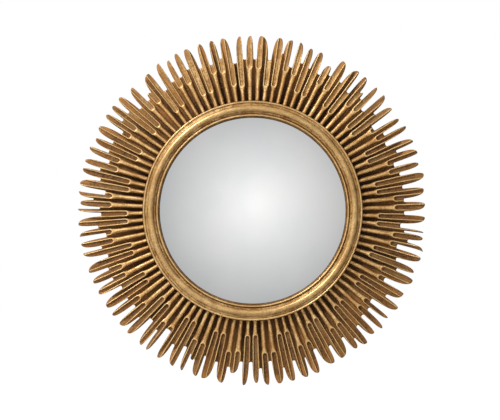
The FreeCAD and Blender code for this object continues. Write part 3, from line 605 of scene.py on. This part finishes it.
def attribute(tree, name):
    node = tree.nodes.new("ShaderNodeAttribute")
    node.attribute_name = name
    return Field(tree, node.outputs["Fac"])


def raise_grain(tree, shader, height, strength, distance):
    """Turns a height into small bumps on the surface."""
    bump = tree.nodes.new("ShaderNodeBump")
    bump.inputs["Strength"].default_value = strength
    bump.inputs["Distance"].default_value = distance
    tree.links.new(height, bump.inputs["Height"])
    tree.links.new(bump.outputs[0], shader.inputs["Normal"])


leaf_wash_and_painted_light = gilding_group()


def gilded(name, strength=0.5, age=0.0):
    material, tree, shader = surface(name)
    shader.inputs["Specular IOR Level"].default_value = 0.15
    leaf = tree.nodes.new("ShaderNodeGroup")
    leaf.node_tree = leaf_wash_and_painted_light
    for label, source in (("Relief", "relief"), ("Hollow", "flute"), ("Rim", "rim"),
                          ("Luck", "luck"), ("Bareness", "bareness"), ("Side", "side"),
                          ("Groove", "groove"), ("Outward", "outward")):
        tree.links.new(attribute(tree, source).socket, leaf.inputs[label])
    leaf.inputs["Age"].default_value = age
    for label, target in (("Colour", "Base Color"), ("Metal", "Metallic"),
                          ("Roughness", "Roughness")):
        tree.links.new(leaf.outputs[label], shader.inputs[target])
    raise_grain(tree, shader, leaf.outputs["Height"], strength, 0.0006)
    return material


def coordinates(tree, stretch=(1.0, 1.0, 1.0)):
    """Places on the object itself, drawn out along an axis for grain."""
    where = tree.nodes.new("ShaderNodeTexCoord")
    mapping = tree.nodes.new("ShaderNodeMapping")
    mapping.inputs["Scale"].default_value = stretch
    tree.links.new(where.outputs["Object"], mapping.inputs["Vector"])
    return mapping.outputs[0]


def wooden(name, dark, light, stretch, scale, rough=0.75, relief=0.35):
    """Bare or stained wood with long grain and pores."""
    material, tree, shader = surface(name)
    along = coordinates(tree, stretch)
    grain = noise(tree, along, scale, 5.0, 0.62, 0.35)
    pores = noise(tree, along, scale * 7.0, 3.0, 0.7)
    patch = noise(tree, coordinates(tree), 9.0, 3.0)
    share = (grain * 0.8 + pores * 0.35 + patch * 0.3 - 0.22).held()
    tree.links.new(blended(tree, share, dark, light), shader.inputs["Base Color"])
    tree.links.new((pores * 0.2 + (rough - 0.1)).socket, shader.inputs["Roughness"])
    raise_grain(tree, shader, (grain + pores * 0.6).socket, relief, 0.0005)
    return material


gilt_rays = gilded("gilt_rays")
washed_back = wooden("ochre_washed_back", colour(96, 66, 36), colour(148, 108, 62),
                     (1.0, 1.0, 0.25), 60.0, 0.8)
carving = carving_tree()
CARVING = {
    "Rod Half Width": 5.7, "Late Rod Half Width": 6.6, "Blade Half Width": 8.25,
    "Early Fork": 324.0, "Late Fork": 368.0, "Inner Crest": 25.2, "Outer Crest": 14.8,
    "Floor": 10.0, "Flute Half Width": 5.1, "Flute Depth": 3.9, "Rim Height": 1.2,
    "Unevenness": 0.7, "Seed": 11, "Gilding": gilt_rays, "Bare Back": washed_back,
}
whole_edge = sawn_edge()
for number in range(SEGMENTS):
    blank = in_scene(f"blank_{number}", blank_segment(number, whole_edge))
    rays = run_tree(blank, carving, CARVING, f"carved_rays_{number + 1:02d}")
    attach(rays, "mirror")
    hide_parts(f"ray_segment_{number + 1:02d}")

# ---------------------------------------------------------------- the turned moulding and slip
# One turned ring with a broad round between two flats and a thin outer bead, and inside it the
# narrow slip whose lip holds the glass. Both are gilded like the rays, with painted highlights on top.


def arc(centre_r, centre_d, radius, first, last, count):
    """Profile points of a round, degrees from straight out towards the viewer."""
    return [(centre_r + radius * math.sin(math.radians(a)), centre_d + radius * math.cos(math.radians(a)))
            for a in np.linspace(first, last, count)]


def along_profile(corners, step):
    """A profile with points no farther apart than a step, in millimetres."""
    line = []
    for (ar, ad), (br, bd) in zip(corners, corners[1:] + corners[:1]):
        pieces = max(1, int(math.ceil(math.hypot(br - ar, bd - ad) / step)))
        line += [(ar + (br - ar) * i / pieces, ad + (bd - ad) * i / pieces) for i in range(pieces)]
    return line


def hand_finish(turns, radii, seed, amount):
    """Small waves round the ring, different on every member."""
    rng = np.random.default_rng(seed)
    waves = np.zeros((len(radii), len(turns)))
    for _ in range(14):
        count = rng.integers(2, 40)
        start = rng.uniform(0, 2 * math.pi)
        drift = np.array(radii)[:, None] * rng.uniform(0.0, 0.5)
        wave = np.sin(turns * count + start + drift)
        waves += wave * rng.uniform(0.2, 1.0) / math.sqrt(count)
    return waves * amount / max(1e-9, np.abs(waves).max())


def turned_ring(name, profile, relief, rims, steps, seed, amount):
    """A closed turned ring from a profile that runs anticlockwise seen from +X, in mm."""
    turns = np.linspace(0.0, 2 * math.pi, steps, endpoint=False)
    radii = [r for r, d in profile]
    wave = hand_finish(turns, radii, seed, amount)
    vertices = []
    for index, (radius, level) in enumerate(profile):
        for turn, lift in zip(turns, wave[index]):
            lifted = level + (lift if relief[index] > 0.3 else 0.0)
            vertices.append((radius * MM * math.sin(turn), -lifted * MM, radius * MM * math.cos(turn)))
    faces = []
    rows = len(profile)
    for row in range(rows):
        below, above = row * steps, ((row + 1) % rows) * steps
        for step in range(steps):
            after = (step + 1) % steps
            faces.append((below + step, below + after, above + after, above + step))
    mesh = bpy.data.meshes.new(name)
    mesh.from_pydata(vertices, [], faces)
    rng = np.random.default_rng(seed + 1)
    for label, values in (("relief", relief), ("rim", rims)):
        mesh.attributes.new(label, "FLOAT", "POINT").data.foreach_set(
            "value", np.repeat(np.array(values, dtype=float), steps))
    mesh.attributes.new("luck", "FLOAT", "POINT").data.foreach_set(
        "value", np.full(len(vertices), float(rng.uniform(0.3, 0.7))))
    mesh.shade_smooth()
    return in_scene(name, mesh)


gilt_moulding = gilded("gilt_moulding", 0.35, 0.75)
SEAT = BACKING_FRONT + 16.0
moulding_corners = (
    [(253.8, 37.3), (253.8, 50.0), (255.0, 50.4), (256.6, 50.7), (258.2, 51.3)]
    + arc(266.5, 50.7, 7.5, -78, 78, 25)
    + [(274.8, 51.3), (276.4, 50.7), (278.6, 50.4), (280.2, 49.9), (280.9, 50.0)]
    + arc(283.7, 49.5, 2.65, -66, 90, 13)
    + [(286.3, SEAT + 0.1), (257.4, SEAT + 0.1), (257.4, 37.3)]
)
moulding_profile = along_profile(moulding_corners, 1.3)


def relief_of(profile, valleys, spread, low=0.12):
    """How far up each profile point stands: near nought in a valley, one on a round."""
    found = []
    for radius, level in profile:
        nearest = min(math.hypot(radius - r, (level - d) * 0.8) for r, d in valleys)
        found.append(min(1.0, low + nearest / spread))
    return found


# The valleys take the painted shade and dark brown of the gilding.
moulding_valleys = [(253.6, 49.6), (258.6, 51.2), (274.4, 51.2), (280.5, 49.9), (286.6, 44.0)]
moulding_relief = relief_of(moulding_profile, moulding_valleys, 4.0, 0.3)
# Where the painted highlight goes on the moulding: a light line along the top of the thin outer bead.
moulding_highlight_lines = [max(0.0, 1.0 - abs(radius - 282.8) / 1.2) * 0.6 * (level > 50.5)
                 for radius, level in moulding_profile]
moulding = turned_ring("turned_moulding", moulding_profile, moulding_relief, moulding_highlight_lines, 720, 5, 0.22)
moulding.data.materials.append(gilt_moulding)
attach(moulding, "mirror")
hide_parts("frame_moulding")

slip_corners = (
    [(243.4, 48.7), (243.4, 49.6), (245.4, 50.4), (246.7, 50.5)]
    + arc(249.2, 51.0, 2.15, -80, 80, 13)
    + [(251.9, 50.6), (253.3, 50.4), (253.3, 37.1), (256.9, 37.1),
       (256.9, SEAT + 0.05), (250.5, SEAT + 0.05), (250.5, 46.0)]
)
slip_profile = along_profile(slip_corners, 1.2)
# The slip's low points take the painted shade and dark brown of the gilding, a dark line along the glass.
slip_relief = relief_of(slip_profile, [(243.4, 49.4), (245.4, 50.4), (252.4, 50.4)], 3.4, 0.1)
# Where the painted highlight goes on the slip: a light line along the top of its bead.
slip_highlight_lines = [max(0.0, 1.0 - abs(radius - 248.7)) * 0.5 * (level > 52.0)
             for radius, level in slip_profile]
slip = turned_ring("sight_slip_bead", slip_profile, slip_relief, slip_highlight_lines, 480, 8, 0.12)
slip.data.materials.append(gilt_moulding)
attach(slip, "mirror")
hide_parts("sight_slip")

# ---------------------------------------------------------------- the convex glass
# A 500 mm disc of 3 mm glass, bent to a dome and silvered on its hollow side. It is polished,
# with the faint waviness of bent glass.

GLASS_RADIUS = 249.9
GLASS_RISE = 45.0
GLASS_RIM_LEVEL = 45.0
GLASS_THICKNESS = 3.0
GLASS_CURVE = (250.0 ** 2 + GLASS_RISE ** 2) / (2 * GLASS_RISE)
GLASS_CENTRE = GLASS_RIM_LEVEL + GLASS_RISE - GLASS_CURVE


def domed_glass(name, rings, steps):
    turns = np.linspace(0.0, 2 * math.pi, steps, endpoint=False)
    points, faces = [], []
    for radius in (GLASS_CURVE, GLASS_CURVE - GLASS_THICKNESS):
        points.append((0.0, -(GLASS_CENTRE + radius) * MM, 0.0))
        for ring in range(1, rings + 1):
            out = GLASS_RADIUS * ring / rings
            level = GLASS_CENTRE + math.sqrt(radius * radius - out * out)
            points += [(out * MM * math.sin(t), -level * MM, out * MM * math.cos(t)) for t in turns]
    half = 1 + rings * steps
    for side in (0, 1):
        base = side * half
        for step in range(steps):
            after = (step + 1) % steps
            face = (base, base + 1 + step, base + 1 + after)
            faces.append(face if side else face[::-1])
            for ring in range(rings - 1):
                a = base + 1 + ring * steps
                b = a + steps
                quad = (a + step, b + step, b + after, a + after)
                faces.append(quad if side else quad[::-1])
    outer, inner = 1 + (rings - 1) * steps, half + 1 + (rings - 1) * steps
    for step in range(steps):
        after = (step + 1) % steps
        faces.append((outer + after, outer + step, inner + step, inner + after)[::-1])
    mesh = bpy.data.meshes.new(name)
    mesh.from_pydata(points, [], faces)
    mesh.shade_smooth()
    return in_scene(name, mesh)


silvered, silver_tree, silver_shader = surface("silvered_glass")
silver_shader.inputs["Metallic"].default_value = 1.0
silver_shader.inputs["Coat Weight"].default_value = 0.4
silver_shader.inputs["Coat Roughness"].default_value = 0.02
bloom = noise(silver_tree, coordinates(silver_tree), 6.0, 3.0)
silver_tint = blended(silver_tree, bloom.step(0.3, 0.7), colour(243, 245, 246), colour(250, 250, 249))
silver_tree.links.new(silver_tint, silver_shader.inputs["Base Color"])
smear = noise(silver_tree, coordinates(silver_tree), 30.0, 4.0)
silver_tree.links.new((smear * 0.03 + 0.035).socket, silver_shader.inputs["Roughness"])
raise_grain(silver_tree, silver_shader, bloom.socket, 0.03, 0.001)
glass = domed_glass("convex_glass", 72, 240)
glass.data.materials.append(silvered)
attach(glass, "mirror")
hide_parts("convex_mirror_glass")

# ---------------------------------------------------------------- plywood ring, panel and felt
# Birch plywood ring sawn on a machine, its edge showing the veneers, and a brown fibreboard disc
# let into it. The felt, the bent strip and the loose tongues are out of sight inside.


def finish(node, material):
    """Gives a drawn piece its real surface."""
    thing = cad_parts[node]
    thing.data.materials.clear()
    thing.data.materials.append(material)


def layered(name):
    """Plywood: long grain on the face, light and dark veneers on the edge."""
    material, tree, shader = surface(name)
    face_grain = noise(tree, coordinates(tree, (1.0, 1.0, 0.08)), 90.0, 5.0, 0.6, 0.4)
    pores = noise(tree, coordinates(tree, (1.0, 1.0, 0.12)), 520.0, 2.0, 0.6)
    split = tree.nodes.new("ShaderNodeSeparateXYZ")
    tree.links.new(coordinates(tree), split.inputs[0])
    depth = Field(tree, split.outputs[1]) * (-1.0 / MM) - 6.0
    band = (depth / 1.5).math("FLOORED_MODULO", 2.0).math("GREATER_THAN", 1.0)
    buried = depth.step(0.35, 0.6) * depth.step(11.7, 11.4)
    share = (face_grain * 0.9 + pores * 0.3 - 0.15).held()
    skin = blended(tree, share, colour(168, 128, 84), colour(208, 172, 124))
    core = blended(tree, band, colour(196, 160, 112), colour(138, 98, 60))
    tree.links.new(blended(tree, buried, skin, core), shader.inputs["Base Color"])
    tree.links.new((pores * 0.2 + 0.6).socket, shader.inputs["Roughness"])
    raise_grain(tree, shader, (face_grain + pores * 0.5).socket, 0.3, 0.0004)
    return material


plywood = layered("birch_plywood")
finish("backing_ring", plywood)
finish("segment_splines", plywood)

fibreboard, board_tree, board_shader = surface("brown_fibreboard")
fibres = noise(board_tree, coordinates(board_tree), 420.0, 4.0, 0.7)
blotch = noise(board_tree, coordinates(board_tree), 14.0, 3.0)
pale = (fibres * 0.8 + blotch * 0.4 - 0.1).held()
board_tree.links.new(blended(board_tree, pale, colour(92, 64, 40), colour(142, 106, 72)),
                     board_shader.inputs["Base Color"])
board_tree.links.new((fibres * 0.25 + 0.55).socket, board_shader.inputs["Roughness"])
raise_grain(board_tree, board_shader, fibres.socket, 0.25, 0.0003)
finish("back_panel", fibreboard)

bent_ash = wooden("bent_ash_strip", colour(150, 112, 70), colour(196, 158, 108),
                  (1.0, 0.1, 1.0), 80.0)
finish("glass_spacer_ring", bent_ash)

felt, felt_tree, felt_shader = surface("black_felt")
fluff = noise(felt_tree, coordinates(felt_tree), 900.0, 3.0, 0.8)
felt_tree.links.new(blended(felt_tree, fluff, colour(18, 17, 17), colour(46, 43, 42)),
                    felt_shader.inputs["Base Color"])
felt_shader.inputs["Roughness"].default_value = 0.95
felt_shader.inputs["Sheen Weight"].default_value = 0.5
raise_grain(felt_tree, felt_shader, fluff.socket, 0.6, 0.0004)
finish("rebate_felt", felt)

# ---------------------------------------------------------------- screws, hangers and bumpers
# Zinc-plated screws hold the layers together from behind. Two brass-plated strap hangers carry
# folding rings of bent wire, and four rubber bumpers keep the hardware off the wall.


def plated(name, tone, dull, scale=260.0):
    material, tree, shader = surface(name)
    shader.inputs["Metallic"].default_value = 1.0
    scuff = noise(tree, coordinates(tree), scale, 4.0, 0.65)
    stain = noise(tree, coordinates(tree), 60.0, 3.0)
    clean = (scuff * 0.6 + stain * 0.5 - 0.1).held()
    tree.links.new(blended(tree, clean, dull, tone), shader.inputs["Base Color"])
    tree.links.new((scuff * 0.25 + 0.24).socket, shader.inputs["Roughness"])
    raise_grain(tree, shader, scuff.socket, 0.2, 0.0002)
    return material


zinc = plated("zinc_plate", colour(206, 204, 196), colour(150, 146, 134))
brass = plated("brass_plate", colour(214, 178, 104), colour(150, 116, 60))
for node in ("hanger_plate_left", "hanger_plate_right"):
    finish(node, brass)



def repeat_tree():
    """Sets one small part at every place of a second mesh, with a cross cut in its head."""
    tree, given, result = tree_with("set_at_places", [
        ("Places", "NodeSocketObject"), ("Arm Half Width", "NodeSocketFloat"),
        ("Arm Reach", "NodeSocketFloat"), ("Recess Depth", "NodeSocketFloat"),
        ("Head Level", "NodeSocketFloat"), ("Seed", "NodeSocketInt"), ("Metal", "NodeSocketMaterial")])
    new, link = tree.nodes.new, tree.links.new
    spot = new("GeometryNodeInputPosition")
    split = new("ShaderNodeSeparateXYZ")
    link(spot.outputs[0], split.inputs[0])
    across, level, up = (Field(tree, split.outputs[axis]) for axis in range(3))
    width, reach, depth, top = (Field(tree, given.outputs[label]) for label in
                                ("Arm Half Width", "Arm Reach", "Recess Depth", "Head Level"))
    near = across.size().math("MINIMUM", up.size())
    far = across.size().math("MAXIMUM", up.size())
    arm = near.step(width, width * 0.4) * far.step(reach, reach * 0.6)
    sunk = arm * level.math("GREATER_THAN", top) * depth
    drop = new("ShaderNodeCombineXYZ")
    link((sunk * -1.0).socket, drop.inputs[1])
    cut = new("GeometryNodeSetPosition")
    link(given.outputs["Geometry"], cut.inputs["Geometry"])
    link(drop.outputs[0], cut.inputs["Offset"])
    places = new("GeometryNodeObjectInfo")
    link(given.outputs["Places"], places.inputs["Object"])
    spin = new("FunctionNodeRandomValue")
    spin.data_type = "FLOAT_VECTOR"
    spin.inputs["Min"].default_value = (0.0, 0.0, 0.0)
    spin.inputs["Max"].default_value = (0.0, 2 * math.pi, 0.0)
    link(given.outputs["Seed"], spin.inputs["Seed"])
    copies = new("GeometryNodeInstanceOnPoints")
    link(places.outputs["Geometry"], copies.inputs["Points"])
    link(cut.outputs[0], copies.inputs["Instance"])
    link(spin.outputs[0], copies.inputs["Rotation"])
    whole = new("GeometryNodeRealizeInstances")
    link(copies.outputs[0], whole.inputs[0])
    coat = new("GeometryNodeSetMaterial")
    link(whole.outputs[0], coat.inputs["Geometry"])
    link(given.outputs["Metal"], coat.inputs["Material"])
    link(coat.outputs[0], result.inputs[0])
    return tree


def lathed(name, profile, steps):
    """A small turned solid round the Y axis, its profile from pole to pole as radius and level."""
    points = [(0.0, profile[0][1] * MM, 0.0)]
    faces = []
    for radius, level in profile[1:-1]:
        points += [(radius * MM * math.sin(t), level * MM, radius * MM * math.cos(t))
                   for t in np.linspace(0.0, 2 * math.pi, steps, endpoint=False)]
    points.append((0.0, profile[-1][1] * MM, 0.0))
    rows = len(profile) - 2
    for step in range(steps):
        after = (step + 1) % steps
        faces.append((0, 1 + step, 1 + after))
        for row in range(rows - 1):
            a = 1 + row * steps
            faces.append((a + after, a + step, a + steps + step, a + steps + after))
        last = 1 + (rows - 1) * steps
        faces.append((last + after, last + step, len(points) - 1))
    mesh = bpy.data.meshes.new(name)
    mesh.from_pydata(points, [], faces)
    mesh.shade_smooth()
    mesh.set_sharp_from_angle(angle=math.radians(38))
    return in_scene(name, mesh)


set_at_places = repeat_tree()


def repeated(name, node, spots, profile, steps, head, metal, seed):
    """One part set at each spot as one piece, its cross recess sized by the head's radius."""
    marks = bpy.data.meshes.new(name + "_places")
    marks.from_pydata(spots, [], [])
    places = in_scene(name + "_places", marks)
    values = {"Places": places, "Arm Half Width": head * 0.17 * MM, "Arm Reach": head * 0.62 * MM,
              "Recess Depth": head * 0.3 * MM, "Head Level": -0.05 * MM, "Seed": seed, "Metal": metal}
    piece = run_tree(lathed(name + "_one", profile, steps), set_at_places, values, name)
    bpy.data.objects.remove(places)
    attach(piece, "mirror")
    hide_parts(node)


def on_circle(radius, turns, level):
    return [(radius * MM * math.sin(math.radians(t)), -level * MM, radius * MM * math.cos(math.radians(t)))
            for t in turns]


def head_rings(radius, level):
    """Close rings across a screw head, so that the cross can be cut."""
    return [(radius * share, level) for share in (0.12, 0.24, 0.36, 0.48, 0.6, 0.72, 0.86)]


def countersunk(head, shank, length):
    """A flat head that narrows to its shank at 45 degrees, and a pointed end."""
    top = [(head * 0.97, 0.0), (head, -0.15), (shank, shank - head - 0.2)]
    return ([(0.0, 0.0)] + head_rings(head, 0.0) + top
            + [(shank, -length + 3.0), (0.3, -length), (0.0, -length)])


PLY_REAR = 6.0
repeated("panel_screws", "back_panel_screws", on_circle(258.7, range(8, 368, 30), PLY_REAR),
         countersunk(3.0, 1.5, 16.0), 32, 3.0, zinc, 3)
segment_turns = [FIRST_JOINT + 36.0 * n + step for n in range(SEGMENTS) for step in (8.0, 28.0)]
repeated("rows_of_segment_screws", "segment_screws", on_circle(320.0, segment_turns, PLY_REAR),
         countersunk(4.0, 2.0, 20.0), 32, 4.0, zinc, 4)
repeated("long_moulding_screws", "moulding_screws",
         on_circle(273.5, [FIRST_JOINT + 36.0 * n + 18.0 for n in range(SEGMENTS)], PLY_REAR),
         countersunk(5.0, 2.5, 40.0), 32, 5.0, zinc, 5)
pan_head = ([(0.0, 2.0)] + head_rings(3.5, 2.0)[:-1]
            + [(2.9, 1.85), (3.3, 1.4), (3.5, 0.8), (3.5, 0.0), (1.75, 0.0)]
            + [(1.75, -7.0), (0.3, -10.0), (0.0, -10.0)])

rubber, rubber_tree, rubber_shader = surface("bumper_rubber")
dust = noise(rubber_tree, coordinates(rubber_tree), 140.0, 4.0, 0.6)
rubber_tree.links.new(blended(rubber_tree, dust.step(0.45, 0.75), colour(34, 33, 32), colour(66, 63, 60)),
                      rubber_shader.inputs["Base Color"])
rubber_tree.links.new((dust * 0.2 + 0.6).socket, rubber_shader.inputs["Roughness"])
raise_grain(rubber_tree, rubber_shader, dust.socket, 0.3, 0.0003)
domed_pad = [(0.0, 6.0), (5.0, 6.0), (8.2, 5.9), (8.75, 5.6), (9.05, 5.1),
             (9.9, 0.4), (9.7, 0.05), (5.0, 0.0), (0.0, 0.0)]
repeated("rubber_bumpers", "wall_bumpers",
         on_circle(325.0, [FIRST_JOINT + 36.0 * n + 18.0 for n in (1, 3, 6, 8)], PLY_REAR),
         domed_pad, 40, 0.001, rubber, 6)


def bent_wire(name, middle, pivot_up, pivot_out):
    """A closed hanging ring: pivot bar, two bends, two legs and a round bow, hanging down."""
    wire, half, corner, leg = 1.39, 11.4, 3.0, 10.0
    path = [(half - corner + corner * math.sin(a), -corner + corner * math.cos(a))
            for a in np.linspace(0.0, math.pi / 2, 9)]
    path += [(half * math.cos(a), -corner - leg - half * math.sin(a))
             for a in np.linspace(0.0, math.pi, 37)]
    path += [(-x, z) for x, z in path[:9]][::-1]
    points, faces = [], []
    count, sides = len(path), 20
    for index, (x, z) in enumerate(path):
        before, after = path[index - 1], path[(index + 1) % count]
        run = np.array([after[0] - before[0], after[1] - before[1]])
        run /= np.linalg.norm(run)
        for step in range(sides):
            swing = 2 * math.pi * step / sides
            out = wire * math.cos(swing)
            points.append(((middle + x - run[1] * out) * MM, -(pivot_out + wire * math.sin(swing)) * MM,
                           (pivot_up + z + run[0] * out) * MM))
    for index in range(count):
        row, following = index * sides, ((index + 1) % count) * sides
        for step in range(sides):
            after = (step + 1) % sides
            faces.append((row + step, row + after, following + after, following + step)[::-1])
    mesh = bpy.data.meshes.new(name)
    mesh.from_pydata(points, [], faces)
    mesh.shade_smooth()
    return in_scene(name, mesh)


HANGER_SIDE, HANGER_RISE = 190.0, 238.0
PIVOT_OUT = 3.05
STRAP_REAR = 4.8
for word, hand in (("left", -1.0), ("right", 1.0)):
    ring = bent_wire(f"folding_ring_{word}", hand * HANGER_SIDE, HANGER_RISE, PIVOT_OUT)
    ring.data.materials.append(brass)
    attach(ring, f"ring_{word}")
    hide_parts(f"hanger_ring_{word}")
    spots = [(hand * HANGER_SIDE * MM, -STRAP_REAR * MM, (HANGER_RISE - drop) * MM)
             for drop in (14.0, 33.0)]
    repeated(f"strap_screws_{word}", f"hanger_screws_{word}", spots, pan_head, 32, 3.5, zinc,
             7)

# ---------------------------------------------------------------- floor, light and camera
# A white studio floor well below the mirror, one window light high on the left in front and a
# weak one behind. The room is white straight ahead and grey to the sides, as the glass shows.

FLOOR_LEVEL = -0.80
floor_mesh = bpy.data.meshes.new("studio_floor")
FLOOR_REACH = 12
floor_corners = [(x * FLOOR_REACH, y * FLOOR_REACH, FLOOR_LEVEL)
                 for x, y in ((-1, -1), (1, -1), (1, 1), (-1, 1))]
floor_mesh.from_pydata(floor_corners, [], [(0, 1, 2, 3)])
floor = in_scene("studio_floor", floor_mesh)
floor.visible_glossy = False
floor_material, floor_tree, floor_shader = surface("studio_floor")
floor_shader.inputs["Base Color"].default_value = (0.8, 0.8, 0.8, 1.0)
floor_shader.inputs["Roughness"].default_value = 0.9
glow = floor_tree.nodes.new("ShaderNodeEmission")
glow.inputs["Strength"].default_value = 1.12
rays_seen = floor_tree.nodes.new("ShaderNodeLightPath")
mix = floor_tree.nodes.new("ShaderNodeMixShader")
seen = Field(floor_tree, rays_seen.outputs["Is Camera Ray"]) * 0.86
seen = seen.math("MAXIMUM", Field(floor_tree, rays_seen.outputs["Is Transmission Ray"]) * 0.86)
floor_tree.links.new(seen.socket, mix.inputs[0])
floor_tree.links.new(floor_shader.outputs[0], mix.inputs[1])
floor_tree.links.new(glow.outputs[0], mix.inputs[2])
floor_tree.links.new(mix.outputs[0], floor_tree.nodes["Material Output"].inputs[0])
floor_mesh.materials.append(floor_material)

AMBIENT = 0.42
world = bpy.data.worlds.new("studio")
bpy.context.scene.world = world
world.use_nodes = True
sky = world.node_tree
background = sky.nodes["Background"]
direction = sky.nodes.new("ShaderNodeTexCoord").outputs["Generated"]
toward = sky.nodes.new("ShaderNodeVectorMath")
toward.operation = "DOT_PRODUCT"
toward.inputs[1].default_value = Vector((0.024, -1.0, 0.056)).normalized()
sky.links.new(direction, toward.inputs[0])
astray = Field(sky, toward.outputs["Value"]).math("ARCCOSINE")
mirrored = (astray * -0.68 + 1.03).math("MAXIMUM", 0.30).math("MINIMUM", 1.0)
ray_kind = sky.nodes.new("ShaderNodeLightPath")
through = Field(sky, ray_kind.outputs["Is Transmission Ray"])
straight = Field(sky, ray_kind.outputs["Is Camera Ray"]).math("MAXIMUM", through)
level = (mirrored * 0.0 + AMBIENT).toward(mirrored, Field(sky, ray_kind.outputs["Is Glossy Ray"]))
level = level.toward(mirrored * 0.0 + 1.0, straight)
sky.links.new(level.socket, background.inputs["Strength"])
background.inputs["Color"].default_value = (1.0, 1.0, 1.0, 1.0)


def lamp(name, place, size, power):
    """A round soft light aimed at the middle of the mirror."""
    light = bpy.data.lights.new(name, "AREA")
    light.shape = "DISK"
    light.size = size
    light.energy = power
    thing = in_scene(name, light)
    thing.location = place
    thing.rotation_euler = (-Vector(place)).to_track_quat("-Z", "Y").to_euler()


lamp("window_left", (-2.3, -2.2, 2.7), 0.7, 230.0)
lamp("room_behind", (1.2, 3.4, 2.2), 1.6, 90.0)

CAMERA_DISTANCE = 6.0
FRAME_WIDTH_PX = 500
MM_PER_PX = 2.611
MIDDLE_PX = (252.7, 210.7)
camera_data = bpy.data.cameras.new("camera")
camera_data.sensor_width = 36.0
camera_data.lens = 36.0 * (CAMERA_DISTANCE - 0.035) / (FRAME_WIDTH_PX * MM_PER_PX * MM)
camera_data.clip_end = 100.0
camera = in_scene("camera", camera_data)
camera.location = (-(MIDDLE_PX[0] - 250.0) * MM_PER_PX * MM, -CAMERA_DISTANCE,
                   (MIDDLE_PX[1] - 210.0) * MM_PER_PX * MM)
camera.rotation_euler = (math.radians(90), 0.0, 0.0)
bpy.context.scene.camera = camera
bpy.context.scene.view_settings.view_transform = "Standard"
